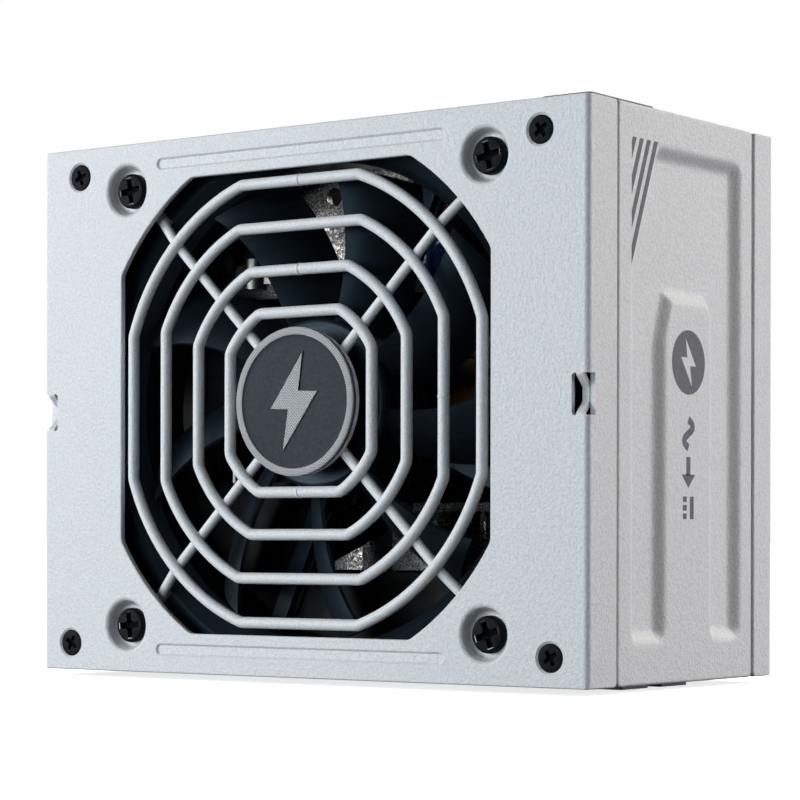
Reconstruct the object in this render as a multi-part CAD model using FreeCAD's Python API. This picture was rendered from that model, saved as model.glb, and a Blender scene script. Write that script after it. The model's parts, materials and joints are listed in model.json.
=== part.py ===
import FreeCAD, Part
import math
import os

from FreeCAD import Vector

# SFX-size modular power supply unit, in millimetres.
# The shapes are drawn in the case's own coordinates: X to the right across the fan side,
# Y is the depth behind the fan side's outer face, Z is the height above the case's underside.
# save() then moves every piece so that the part stands on its sockets, centred on the origin.

# Case
CASE_W = 125.0
CASE_H = 100.0
CASE_D = 63.5
SHEET = 1.0
HALF_W = CASE_W / 2
INNER_X = HALF_W - SHEET
BEND = 1.0
CORNER = 0.8
EDGE_SOFT = 0.3
COVER_FLANGE = 9.1
TRAY_FLANGE = 7.0
TRAY_FRONT = CASE_D - TRAY_FLANGE
BASE_INNER = CASE_D - SHEET
PANEL_FRONT = 9.4
PANEL_REAR = 55.7
PAN_FLANGE = 5.0
TAB = 7.9
GROOVE_X = (-33.7, 32.9)
GROOVE_Z = (4.4, 95.6)
GROOVE_W = 2.3
GROOVE_DEPTH = 0.35
NOTCH_Z = (46.05, 53.15)
NOTCH_X = 59.1
NOTCH_DEPTH = 2.1
STRIP_X = (60.0, 61.4)
STRIP_BEND = 0.8
STRIP_DROP = 2.0

# Fan opening, guard and badge
AXIS_Z = 50.0
OPENING_HALF = 42.5
OPENING_R = 49.4
OPENING_BEND = 2.5
WIRE_R = 1.05
RING_DEPTH = 1.0
RINGS = ((16.35, 18.8), (24.05, 26.5), (32.05, 35.0), (40.2, 42.4))
RING_BEND = 2.6
SPOKE_R = 0.95
SPOKE_DEPTH = 2.2
BADGE_R = 13.5
BADGE_PROUD = 0.8
BADGE_FIELD = 0.55
BADGE_BACK = 0.3
PLATE_FRONT = 0.4

# Fan
FAN_HALF = 46.0
FAN_FRONT = 4.6
FAN_DEPTH = 15.0
FAN_REAR = FAN_FRONT + FAN_DEPTH
FAN_FLANGE = 4.0
FAN_BORE = 44.0
FAN_SCREW = 41.25
BLADES = 9
HUB_R = 15.75
HUB_FRONT = 5.5
HUB_REAR = 16.4
TIP_R = 42.8
FIRST_BLADE = 34.0
BLADE_FRONT = 5.9
BLADE_REAR = 16.1
STRUT_ANGLES = (66, 156, 246, 336)
STRUT_FRONT = 16.9
SHAFT_R = 1.5

# Fasteners
DIMPLE_FLOOR = 2.4
DIMPLE_LIP = 5.6
DIMPLE_WALL = ((4.95, 0.17), (4.6, 0.72), (4.2, 1.8), (4.0, 2.2), (3.65, DIMPLE_FLOOR))
DIMPLE_OUTSIDE = ((0, 0.5), (6.6, 0.5), (5.7, SHEET), (4.9, 3.4), (0, 3.4))
DIMPLE_HOLE = 2.2
SINK_R = 2.9
SINK_FOOT = 1.6
COVER_SCREWS = ((-53.3, 94.6), (52.7, 94.6), (-55.5, 5.1), (54.8, 5.1))
BASE_SCREWS = ((-55.0, 94.6), (55.0, 94.6), (-55.0, 5.1), (55.0, 5.1))
MOUNT_X = 113.0
MOUNT_Y = 51.5
MOUNT_R = 1.45

# Mains side: inlet and switch
INLET = (-38.0, 40.0)
INLET_PROUD = 1.5
INLET_BODY = (26.8, 19.6)
INLET_CAVITY = (24.2, 16.0)
INLET_DEPTH = 17.5
SWITCH = (50.85, 21.3)
SWITCH_BEZEL = (10.5, 21.4)
SWITCH_PROUD = 2.2
SWITCH_WINDOW = (8.0, 18.7)
PIVOT_Z = 97.2
ROCKER_TILT = 8.0

# Modular sockets
SOCKET_PROUD = 1.25
SOCKET_PITCH = 4.2
SOCKET_WALL = 0.5
SOCKET_D = 9.2
SOCKET_TOP = 11.5
SOCKET_ROWS = (27.3, 40.7)
SOCKETS_END = 55.0

# Main board
BOARD_FRONT = 56.4
BOARD_REAR = 58.0
BOARD_X = 57.5
BOARD_Z = (15.0, 92.0)
STANDOFFS = ((-52.0, 19.0), (52.0, 19.0), (-52.0, 88.0), (52.0, 88.0))

OFFSET = Vector(0, -(CASE_D - BADGE_PROUD) / 2, SOCKET_PROUD)
UP = Vector(0, 0, 1)
BACK = Vector(0, 1, 0)
RIGHT = Vector(1, 0, 0)


def save(name, shape):
    """Write one named sub-part, moved into the part's own frame."""
    moved = shape.copy()
    moved.translate(OFFSET)
    bad = [s for s in moved.Solids if not s.isValid()]
    print(f"{name:22s} solids {len(moved.Solids):3d} volume {moved.Volume:10.1f} bad {len(bad)}")
    moved.exportStep(f"parts/{name}.step")


def box(x0, x1, y0, y1, z0, z1):
    return Part.makeBox(x1 - x0, y1 - y0, z1 - z0, Vector(x0, y0, z0))


def rod(x, y, z, radius, length, direction):
    return Part.makeCylinder(radius, length, Vector(x, y, z), direction)


def ring(x, y, z, outer, inner, length, direction):
    solid = rod(x, y, z, outer, length, direction)
    return solid.cut(rod(x, y, z, inner, length, direction))


def join(shapes):
    shapes = list(shapes)
    solid = shapes[0].fuse(shapes[1:])
    return solid.removeSplitter()


def line(first, last):
    return Part.LineSegment(first, last).toShape()


def arc(first, middle, last):
    return Part.Arc(first, middle, last).toShape()


def group(shapes):
    return Part.makeCompound(list(shapes))


def fillet_where(shape, radius, test):
    """Round the edges whose middle point passes the test."""
    edges = [e for e in shape.Edges if test(e)]
    return shape.makeFillet(radius, edges)


def along(edge, axis):
    """True for a straight edge that runs along the given axis."""
    if len(edge.Vertexes) != 2:
        return False
    run = edge.Vertexes[1].Point - edge.Vertexes[0].Point
    return run.Length > 0 and abs(run.dot(axis)) > 0.999 * run.Length


def soft_box(x0, x1, y0, y1, z0, z1, radius, axis):
    """Box with the four edges along one axis rounded."""
    return fillet_where(box(x0, x1, y0, y1, z0, z1), radius, lambda e: along(e, axis))


def polygon(points):
    return Part.makePolygon([*points, points[0]])


def prism(points, sweep):
    return Part.Face(polygon(points)).extrude(sweep)


def turned(profile, x, z):
    """Solid of revolution about the depth axis through (x, z); profile holds (radius, depth)."""
    points = [Vector(x + r, y, z) for r, y in profile]
    return Part.Face(polygon(points)).revolve(Vector(x, 0, z), BACK, 360)


def tapered(outer, inner):
    """Ruled solid between two flat closed wires."""
    return Part.makeLoft([outer, inner], True, True)


def mirror_x(shape):
    return shape.mirror(Vector(0, 0, 0), RIGHT)


def four(x, z):
    return [(sx * x, AXIS_Z + sz * z) for sx in (-1, 1) for sz in (-1, 1)]


def routed(points, radius):
    """Round wire along straight runs joined by tangent arcs as large as the runs allow."""
    points = [Vector(*p) for p in points]
    edges = []
    start = points[0]
    for before, corner, after in zip(points, points[1:], points[2:]):
        arrive = (corner - before).normalize()
        leave = (after - corner).normalize()
        reach = 0.45 * min((corner - before).Length, (after - corner).Length)
        entry = corner - arrive * reach
        leaving = corner + leave * reach
        half_turn = arrive.getAngle(leave) / 2
        bend = reach / math.tan(half_turn)
        to_centre = (leave - arrive).normalize()
        centre = corner + to_centre * (bend / math.cos(half_turn))
        middle = centre - to_centre * bend
        edges.append(Part.LineSegment(start, entry).toShape())
        edges.append(Part.Arc(entry, middle, leaving).toShape())
        start = leaving
    edges.append(Part.LineSegment(start, points[-1]).toShape())
    path = Part.Wire(edges)
    section = Part.Wire(Part.makeCircle(radius, points[0], points[1] - points[0]))
    solid = path.makePipeShell([section], True, True)
    print(f"  routed wire: length {path.Length:.1f}, volume error",
          f"{solid.Volume / (math.pi * radius ** 2 * path.Length) - 1:.4f}")
    return solid


def clipped_square(half, radius, bend, depth):
    """Closed wire: a square cut by a concentric circle, with small bends where they meet."""
    offset = math.sqrt((radius - bend) ** 2 - (half - bend) ** 2)
    centre = Vector(half - bend, offset, 0)
    out = centre * (radius / (radius - bend))
    turn = math.atan2(offset, half - bend) / 2
    mid = centre + Vector(math.cos(turn), math.sin(turn), 0) * bend
    quarter = [("line", Vector(half, -offset, 0), None, Vector(half, offset, 0)),
               ("arc", Vector(half, offset, 0), mid, out),
               ("arc", out, Vector(radius, radius, 0) / math.sqrt(2), Vector(out.y, out.x, 0)),
               ("arc", Vector(out.y, out.x, 0), Vector(mid.y, mid.x, 0), Vector(offset, half, 0))]
    edges = []
    for step in range(4):
        spin = FreeCAD.Rotation(UP, 90 * step)
        for kind, first, middle, last in quarter:
            flat = [spin.multVec(p) for p in (first, middle, last) if p is not None]
            points = [Vector(p.x, depth, AXIS_Z + p.y) for p in flat]
            if kind == "line":
                edges.append(line(*points))
            else:
                edges.append(arc(*points))
    return Part.Wire(edges)


# ---------------------------------------------------------------- case

def stadium(x0, x1, z, height, depth):
    """Closed wire with two straight sides and round ends, in the fan face's plane."""
    r = height / 2
    low = z - r
    high = z + r
    edges = [Part.LineSegment(Vector(x0 + r, depth, low), Vector(x1 - r, depth, low)).toShape(),
             arc(Vector(x1 - r, depth, low), Vector(x1, depth, z), Vector(x1 - r, depth, high)),
             Part.LineSegment(Vector(x1 - r, depth, high), Vector(x0 + r, depth, high)).toShape(),
             arc(Vector(x0 + r, depth, high), Vector(x0, depth, z), Vector(x0 + r, depth, low))]
    return Part.Wire(edges)


def dimple_cavity(x, z):
    """Space inside a stamped dimple: rounded lip, sloped wall, flat floor, screw hole."""
    lip, lip_end, wall_end, turn, foot = [Vector(x + r, depth, z) for r, depth in DIMPLE_WALL]
    start = Vector(x, -1, z)
    outer = Vector(x + DIMPLE_LIP, -1, z)
    rim = Vector(x + DIMPLE_LIP, 0, z)
    centre = Vector(x, DIMPLE_FLOOR, z)
    edges = [line(start, outer), line(outer, rim), arc(rim, lip, lip_end), line(lip_end, wall_end),
             arc(wall_end, turn, foot), line(foot, centre), line(centre, start)]
    bowl = Part.Face(Part.Wire(edges)).revolve(Vector(x, 0, z), BACK, 360)
    return bowl.fuse(rod(x, 0, z, DIMPLE_HOLE, 6, BACK))


def countersink(x, z, face, inward):
    """Cone for a flat screw head; inward is +1 from the fan side, -1 from the base side."""
    cone = Part.makeCone(SINK_R, SINK_FOOT, SHEET, Vector(x, face, z), BACK * inward)
    through = rod(x, face, z, SINK_FOOT, 4, BACK * inward)
    return cone.fuse(through)


def strip_step(end, toward):
    """Edges of a smooth step at 45 degrees, from the fan face at one end of the notch to the strip's middle."""
    angles = [math.radians(t) for t in (0, 22.5, 45)]
    turn = [(STRIP_BEND * math.sin(a), STRIP_BEND * (1 - math.cos(a))) for a in angles]
    run = STRIP_DROP + 2 * (turn[2][0] - turn[2][1])
    upper = [Vector(STRIP_X[0], depth, end + toward * z) for z, depth in turn]
    lower = [Vector(STRIP_X[0], STRIP_DROP - depth, end + toward * (run - z)) for z, depth in reversed(turn)]
    return [arc(*upper), line(upper[2], lower[0]), arc(*lower)], lower[2]


def edge_notch():
    """Notch in the right edge of the fan face, and the pressed-in strip that crosses it."""
    low, high = NOTCH_Z
    cutter = soft_box(NOTCH_X, HALF_W + 1, -1, NOTCH_DEPTH, low, high, 0.6, BACK)
    cutter = cutter.fuse(box(HALF_W - 1.5, HALF_W + 1, -1, NOTCH_DEPTH, low, high))
    upper, upper_end = strip_step(high, -1)
    lower, lower_end = strip_step(low, 1)
    front = [*upper, line(upper_end, lower_end), *lower]
    back = [edge.translated(BACK * SHEET) for edge in front]
    ends = [line(Vector(STRIP_X[0], 0, z), Vector(STRIP_X[0], SHEET, z)) for z in NOTCH_Z]
    outline = Part.Wire(Part.sortEdges([*front, *back, *ends])[0])
    return cutter, Part.Face(outline).extrude(RIGHT * (STRIP_X[1] - STRIP_X[0]))


def is_flange_rim(edge, rear):
    """Outer edges of a shallow tray: around its top and underside, and along its free side edges."""
    bounds = edge.BoundBox
    flat = bounds.ZMax - bounds.ZMin < 1e-6
    level = flat and min(abs(bounds.ZMin), abs(bounds.ZMin - CASE_H)) < 1e-6
    centre = edge.CenterOfMass
    side = abs(centre.x) > HALF_W - 0.01 and abs(centre.y - rear) < CORNER and not along(edge, BACK)
    return level or (side and not along(edge, RIGHT))


def tray_blank(front, rear, open_at):
    """Solid block of a folded tray, rounded at its bends, at its free corners and along its edges."""
    blank = soft_box(-HALF_W, HALF_W, front, rear, 0, CASE_H, BEND, UP)
    far = open_at + (5 if open_at < CASE_D / 2 else -5)
    blank = blank.cut(box(-HALF_W, HALF_W, min(open_at, far), max(open_at, far), -1, CASE_H + 1))
    blank = fillet_where(blank, CORNER, lambda e: along(e, RIGHT) and abs(e.CenterOfMass.y - open_at) < 0.1)
    return fillet_where(blank, EDGE_SOFT, lambda e: is_flange_rim(e, open_at))


def fan_cover():
    shell = tray_blank(0, COVER_FLANGE + 4, COVER_FLANGE)
    shell = shell.cut(box(-INNER_X, INNER_X, SHEET, COVER_FLANGE + 1, -1, CASE_H + 1))
    screws = four(FAN_SCREW, FAN_SCREW)
    cups = [turned(DIMPLE_OUTSIDE, x, z) for x, z in screws]
    shell = shell.fuse(cups)
    cavities = [dimple_cavity(x, z) for x, z in screws]
    opening = Part.Face(clipped_square(OPENING_HALF, OPENING_R, OPENING_BEND, -1)).extrude(BACK * 3)
    sinks = [countersink(x, z, 0, 1) for x, z in COVER_SCREWS]
    left, right = GROOVE_X
    slope = 0.4
    grooves = [tapered(stadium(left, right, z, GROOVE_W, 0),
                       stadium(left + slope, right - slope, z, GROOVE_W - 2 * slope, GROOVE_DEPTH))
               for z in GROOVE_Z]
    cutter, strip = edge_notch()
    notches = [cutter, mirror_x(cutter)]
    shell = shell.cut([*cavities, opening, *sinks, *grooves, *notches])
    shell = fillet_where(shell, EDGE_SOFT, is_opening_front)
    return join([shell, strip, mirror_x(strip)])


def is_opening_front(edge):
    """Front edges of the large air opening."""
    inside = edge.BoundBox
    flat = abs(inside.YMin) < 1e-6 and abs(inside.YMax) < 1e-6
    reach = max(abs(inside.XMin), abs(inside.XMax), abs(inside.ZMin - AXIS_Z), abs(inside.ZMax - AXIS_Z))
    centre = edge.CenterOfMass
    distance = math.hypot(centre.x, centre.z - AXIS_Z)
    return flat and reach < OPENING_HALF + 0.1 and distance > 40 and not is_dimple_rim(centre)


def is_dimple_rim(point):
    return any(math.hypot(point.x - x, point.z - z) < 6 for x, z in four(FAN_SCREW, FAN_SCREW))


RECESS_DEPTH = 1.5
RECESS_SOFT = 3.2
BASE_RECESS = (44.0, 32.0)
BASE_RECESS_DEPTH = 0.6
RECESS_OUTER = ((13.6, 6.7), (13.6, 72.1), (22.1, 93.75), (51.7, 93.75), (51.7, 6.7), (40.4, 6.7),
                (40.4, 64.4), (38.8, 66.2), (27.6, 66.2), (25.4, 59.2), (25.4, 6.7))
RECESS_FLOOR = ((16.0, 9.4), (16.0, 71.6), (23.8, 91.35), (49.3, 91.35), (49.3, 9.4), (42.9, 9.4),
                (42.9, 65.6), (40.3, 69.0), (25.7, 69.0), (22.9, 60.2), (22.9, 9.4))


def recess_block(outer_x):
    """Arch-shaped stamping with sloped walls; its mouth lies at outer_x."""
    mouth = polygon([Vector(outer_x, y, z) for y, z in RECESS_OUTER])
    floor = polygon([Vector(outer_x - RECESS_DEPTH, y, z) for y, z in RECESS_FLOOR])
    return tapered(mouth, floor)


def is_recess_edge(edge):
    """Edges of the stamping on the outer face and on its floor."""
    flat_x = edge.BoundBox.XMax - edge.BoundBox.XMin < 1e-6
    level = min(abs(edge.BoundBox.XMin - x) for x in (HALF_W, HALF_W - RECESS_DEPTH))
    centre = edge.CenterOfMass
    inside = PANEL_FRONT + 2 < centre.y < PANEL_REAR - 2 and 5 < centre.z < CASE_H - 5
    return flat_x and level < 1e-6 and inside


def is_panel_rim(edge):
    """Edges around the outer face of the side panel."""
    centre = edge.CenterOfMass
    inside = PANEL_FRONT + 2 < centre.y < PANEL_REAR - 2 and 3 < centre.z < CASE_H - 3
    return edge.BoundBox.XMin > HALF_W - 0.01 and not inside


def side_panel():
    sheet = box(INNER_X, HALF_W, PANEL_FRONT, PANEL_REAR, 0, CASE_H)
    sheet = fillet_where(sheet, CORNER, lambda e: along(e, RIGHT))
    sheet = sheet.fuse(recess_block(INNER_X)).cut(recess_block(HALF_W))
    sheet = fillet_where(sheet, RECESS_SOFT, is_recess_edge)
    return fillet_where(sheet, 1.5 * EDGE_SOFT, is_panel_rim)


def base_tray():
    """Base plate with two side flanges and a shallow stiffening recess."""
    tray = tray_blank(TRAY_FRONT - 4, CASE_D, TRAY_FRONT)
    tray = tray.cut(box(-INNER_X, INNER_X, TRAY_FRONT - 1, BASE_INNER, -1, CASE_H + 1))

    def outline(face, shrink):
        x = BASE_RECESS[0] - shrink
        z = BASE_RECESS[1] - shrink
        corners = ((-x, -z), (x, -z), (x, z), (-x, z))
        return polygon([Vector(px, face, AXIS_Z + pz) for px, pz in corners])

    bump = tapered(outline(BASE_INNER, -0.4), outline(BASE_INNER - BASE_RECESS_DEPTH, 0.6))
    hollow = tapered(outline(CASE_D, 0), outline(CASE_D - BASE_RECESS_DEPTH, 1.0))
    sinks = [countersink(x, z, CASE_D, -1) for x, z in BASE_SCREWS]
    return tray.fuse(bump).cut([hollow, *sinks])


def pan(z_out, inward):
    """Shallow pan for the mains or socket side: a plate with flanges folded into the case."""
    z_in = z_out + inward * SHEET
    z_end = z_in + inward * PAN_FLANGE
    z_tab = z_in + inward * TAB
    edge = INNER_X - 0.05
    def slab(x0, x1, y0, y1, za, zb):
        return box(x0, x1, y0, y1, min(za, zb), max(za, zb))
    pieces = [slab(-edge, edge, SHEET, BASE_INNER, z_out, z_in),
              slab(-edge, edge, SHEET, 2 * SHEET, z_in, z_end),
              slab(-edge, edge, BASE_INNER - SHEET, BASE_INNER, z_in, z_end)]
    for side in (-1, 1):
        near = side * edge
        far = side * (edge - SHEET)
        pieces.append(slab(min(near, far), max(near, far), COVER_FLANGE + 3, TRAY_FRONT - 3, z_in, z_end))
        x0 = min(side * 49, side * 59)
        for y0 in (SHEET, BASE_INNER - SHEET):
            pieces.append(slab(x0, x0 + 10, y0, y0 + SHEET, z_in, z_tab))
    dimples = [rod(x, SHEET, z, 7.2, SHEET, BACK) for x, z in four(FAN_SCREW, FAN_SCREW)]
    return join(pieces).cut(dimples)


def hexagon(x, y, across, z, height):
    radius = across / math.sqrt(3)
    points = [Vector(x + radius * math.cos(math.radians(30 + 60 * k)),
                     y + radius * math.sin(math.radians(30 + 60 * k)), z) for k in range(6)]
    return prism(points, UP * height)


def vent_cells(x0, x1, y0, y1, z):
    """Honeycomb of hexagonal holes that fills a rectangle."""
    across = 4.6
    pitch = 5.6
    row_step = pitch * math.sqrt(3) / 2
    rows = int((y1 - y0 - across) / row_step) + 1
    cells = []
    for row in range(rows):
        shift = pitch / 2 if row % 2 else 0.0
        x = x0 + across / 2 + shift
        while x < x1 - across / 2:
            cells.append(hexagon(x, y0 + across / 2 + row * row_step, across, z, 3))
            x += pitch
    return cells


def mount_positions():
    middle = CASE_D / 2
    return [(sx * MOUNT_X / 2, middle + sy * MOUNT_Y / 2) for sx in (-1, 1) for sy in (-1, 1)]


def mains_panel():
    panel = pan(CASE_H, -1)
    collars = [rod(x, y, CASE_H - 2.4, 2.6, 1.6, UP) for x, y in mount_positions()]
    panel = panel.fuse(collars)
    holes = [rod(x, y, CASE_H - 3, MOUNT_R, 4, UP) for x, y in mount_positions()]
    inlet = soft_box(INLET[0] - INLET_BODY[0] / 2 - 0.1, INLET[0] + INLET_BODY[0] / 2 + 0.1,
                     INLET[1] - INLET_BODY[1] / 2 - 0.1, INLET[1] + INLET_BODY[1] / 2 + 0.1,
                     CASE_H - 2, CASE_H + 1, 1.0, UP)
    half_x = SWITCH_WINDOW[0] / 2 + 0.55
    half_y = SWITCH_WINDOW[1] / 2 + 0.65
    switch = box(SWITCH[0] - half_x, SWITCH[0] + half_x, SWITCH[1] - half_y, SWITCH[1] + half_y,
                 CASE_H - 2, CASE_H + 1)
    cells = vent_cells(-18, 40, 23, 57, CASE_H - 2) + vent_cells(41, 60, 36, 52, CASE_H - 2)
    threads = [rod(x, 0.5, z, 1.25, 3, BACK) for x, z in COVER_SCREWS if z > AXIS_Z]
    threads += [rod(x, BASE_INNER - 2, z, 1.25, 3, BACK) for x, z in BASE_SCREWS if z > AXIS_Z]
    return panel.cut([*holes, inlet, switch, *cells, *threads])


def socket_panel():
    panel = pan(0, 1)
    windows = []
    for _, x0, width, row in sockets():
        half = SOCKET_D / 2 + 0.1
        windows.append(box(x0 - 0.1, x0 + width + 0.1, row - half, row + half, -1, 2))
    threads = [rod(x, 0.5, z, 1.25, 3, BACK) for x, z in COVER_SCREWS if z < AXIS_Z]
    threads += [rod(x, BASE_INNER - 2, z, 1.25, 3, BACK) for x, z in BASE_SCREWS if z < AXIS_Z]
    return panel.cut([*windows, *threads])


# ---------------------------------------------------------------- fasteners

def cross_recess(span, width, depth):
    """Cross-shaped driver recess with tapered arms and a pointed bottom, starting at depth 0."""
    half = span / 2
    arm = width / 2
    soft = 0.45 * arm
    outline = []
    for step in range(4):
        spin = FreeCAD.Rotation(UP, 90 * step)
        corner = [(half, -0.75 * arm), (half, 0.75 * arm), (arm + soft, arm), (arm, arm + soft)]
        outline += [spin.multVec(Vector(x, y, 0)) for x, y in corner]
    mouth = polygon([Vector(p.x, -0.4, p.y) for p in outline])
    floor = polygon([Vector(0.72 * p.x, depth, 0.72 * p.y) for p in outline])
    tip = Part.makeCone(0.72 * arm, 0.1, 0.5, Vector(0, depth - 0.05, 0), BACK)
    return tapered(mouth, floor).fuse(tip)


def placed(shape, x, y, z):
    moved = shape.copy()
    moved.translate(Vector(x, y, z))
    return moved


def flat_screw(length):
    """Countersunk machine screw, head top at depth 0."""
    profile = [(0, 0), (2.35, 0), (2.5, 0.12), (2.5, 0.2), (1.55, 0.86), (1.2, 0.88), (1.2, length - 0.5),
               (0.7, length), (0, length)]
    return turned(profile, 0, 0).cut(cross_recess(2.9, 0.8, 0.7))


def pan_screw(head_r, head_h, shank_r, length):
    """Pan-head screw, top of the head at depth 0."""
    profile = [(0, 0), (head_r * 0.5, 0.04), (head_r * 0.85, 0.2), (head_r * 0.97, 0.45), (head_r, 0.75),
               (head_r, head_h), (shank_r, head_h), (shank_r, length - 0.8), (shank_r * 0.4, length),
               (0, length)]
    return turned(profile, 0, 0).cut(cross_recess(head_r * 1.4, head_r * 0.36, 0.95))


def cover_screws():
    return group(placed(flat_screw(6.0), x, 0.1, z) for x, z in COVER_SCREWS)


def base_screws():
    screw = flat_screw(6.0).mirror(Vector(0, 0, 0), BACK)
    return group(placed(screw, x, CASE_D - 0.1, z) for x, z in BASE_SCREWS)


def fan_screws():
    head = 1.5
    return group(placed(pan_screw(3.3, head, 1.9, 12.0), x, DIMPLE_FLOOR - head, z)
                 for x, z in four(FAN_SCREW, FAN_SCREW))


def board_standoffs():
    posts = []
    for x, z in STANDOFFS:
        post = ring(x, BOARD_REAR, z, 2.6, 1.3, BASE_INNER - BOARD_REAR, BACK)
        posts.append(post)
    return group(posts)


def board_screws():
    return group(placed(pan_screw(2.7, 1.3, 1.2, 5.0), x, BOARD_FRONT - 1.3, z) for x, z in STANDOFFS)


# ---------------------------------------------------------------- guard and badge

def guard_ring(half, radius):
    """One wire ring of the guard."""
    path = clipped_square(half, radius, RING_BEND, RING_DEPTH)
    start = path.Edges[0].Vertexes[0].Point
    section = Part.Wire(Part.makeCircle(WIRE_R, start, UP))
    return path.makePipeShell([section], True, True)


def guard_spoke():
    """Wire from corner to corner, bent back at its ends, each end flattened into an eyelet."""
    straight = 43.0
    bent = 49.4
    bent_depth = 3.55
    eyelet = FAN_SCREW * math.sqrt(2)
    pieces = [rod(-straight, SPOKE_DEPTH, 0, SPOKE_R, 2 * straight, RIGHT)]
    slope = Vector(bent - straight, bent_depth - SPOKE_DEPTH, 0)
    for side in (-1, 1):
        lean = Vector(side * slope.x, slope.y, 0)
        knee = Vector(side * straight, SPOKE_DEPTH, 0)
        pieces.append(Part.makeCylinder(SPOKE_R, lean.Length, knee, lean))
        pieces.append(Part.makeSphere(SPOKE_R, knee))
        x0 = min(side * (bent - 0.8), side * (eyelet - 3))
        pieces.append(box(x0, x0 + eyelet - 2.2 - bent, 3.4, FAN_FRONT, -SPOKE_R, SPOKE_R))
        pieces.append(ring(side * eyelet, 3.4, 0, 4.3, 2.3, FAN_FRONT - 3.4, BACK))
    return pieces[0].fuse(pieces[1:])


def fan_guard():
    rings = [guard_ring(half, radius) for half, radius in RINGS]
    spokes = []
    for angle in (45, 135):
        spoke = guard_spoke()
        spoke.rotate(Vector(0, 0, 0), BACK, angle)
        spoke.translate(UP * AXIS_Z)
        spokes.append(spoke)
    return rings[0].fuse([*rings[1:], *spokes])


def badge_plate():
    """Thin steel disc that carries the badge, welded to the spokes where they cross."""
    plate = rod(0, PLATE_FRONT, AXIS_Z, BADGE_R - 0.1, SPOKE_DEPTH - SPOKE_R - PLATE_FRONT, BACK)
    return fillet_where(plate, 0.2, lambda e: e.CenterOfMass.y < PLATE_FRONT + 0.1)


def bolt_outline(scale, x, z):
    """Generic zigzag bolt, its centre at (x, z)."""
    points = ((1.6, 7.0), (-4.2, -1.0), (-0.9, -1.0), (-2.0, -7.0), (4.2, 1.4), (0.7, 1.4))
    return [Vector(x + scale * px, 0, z + scale * pz) for px, pz in points]


def fan_badge():
    """Round badge on a foam pad: a raised rim and a raised generic bolt on a sunken field."""
    rim = BADGE_R - 1.5
    disc = turned([(0, PLATE_FRONT), (BADGE_R - 1.3, PLATE_FRONT), (BADGE_R - 1.3, -BADGE_BACK),
                   (BADGE_R - 0.15, -BADGE_BACK), (BADGE_R, -BADGE_BACK - 0.12), (BADGE_R, -BADGE_PROUD + 0.12),
                   (BADGE_R - 0.12, -BADGE_PROUD), (rim, -BADGE_PROUD), (rim - 0.08, -BADGE_FIELD),
                   (0, -BADGE_FIELD)], 0, AXIS_Z)
    bolt = prism(bolt_outline(1.3, 0, AXIS_Z), BACK * (BADGE_PROUD - BADGE_BACK))
    bolt.translate(BACK * -BADGE_PROUD)
    return join([disc, bolt])


# ---------------------------------------------------------------- fan

def fan_frame():
    """Square fan housing: two flanges, a round bore with a flared mouth, rear hub and struts."""
    frame = soft_box(-FAN_HALF, FAN_HALF, FAN_FRONT, FAN_REAR, AXIS_Z - FAN_HALF, AXIS_Z + FAN_HALF, 3.5, BACK)
    waist = box(-FAN_HALF - 1, FAN_HALF + 1, FAN_FRONT + FAN_FLANGE, FAN_REAR - FAN_FLANGE,
                AXIS_Z - FAN_HALF - 1, AXIS_Z + FAN_HALF + 1)
    waist = waist.cut(rod(0, FAN_FRONT, AXIS_Z, FAN_HALF - 0.1, FAN_DEPTH, BACK))
    bore = rod(0, FAN_FRONT - 1, AXIS_Z, FAN_BORE, FAN_DEPTH + 2, BACK)
    flare = turned([(0, FAN_FRONT - 0.5), (48.9, FAN_FRONT - 0.5), (48.3, FAN_FRONT), (45.6, FAN_FRONT + 2.2),
                    (FAN_BORE - 0.1, FAN_FRONT + 4.2), (0, FAN_FRONT + 4.2)], 0, AXIS_Z)
    holes = [rod(x, 0, z, 2.15, 30, BACK) for x, z in four(FAN_SCREW, FAN_SCREW)]
    frame = frame.cut([waist, bore, flare, *holes])
    struts = []
    for angle in STRUT_ANGLES:
        strut = box(12, FAN_BORE + 1, STRUT_FRONT, FAN_REAR, -1.6, 1.6)
        strut = strut.fuse(box(12, FAN_BORE + 1, FAN_REAR - 1, FAN_REAR, -2.2, 2.2))
        strut.rotate(Vector(0, 0, 0), BACK, -angle)
        strut.translate(UP * AXIS_Z)
        struts.append(strut)
    hub = rod(0, FAN_REAR - 2, AXIS_Z, HUB_R - 0.25, 2, BACK)
    tower = rod(0, 8.7, AXIS_Z, 4.0, 9.5, BACK)
    inner = rod(0, 8.0, AXIS_Z, 3.0, FAN_REAR - 8.6, BACK)
    return frame.fuse([*struts, hub, tower]).cut(inner)


def lead_angle(radius):
    """How far the leading edge runs ahead of its root, in degrees."""
    return 10.9 * (max(radius - 17.0, 0.0) / 26.0) ** 1.7


def trail_angle(radius):
    """Where the trailing edge lies, in degrees from the leading edge's root."""
    return -23.5 + 0.75 * (radius - 20.0)


def edge_offset(distance, angle_at, middle):
    """Sideways place of a blade edge in the plane that lies at a distance from the axis."""
    radius = distance
    for _ in range(12):
        angle = math.radians(angle_at(radius) - middle)
        radius = distance / math.cos(angle)
    return radius * math.sin(angle)


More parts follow.
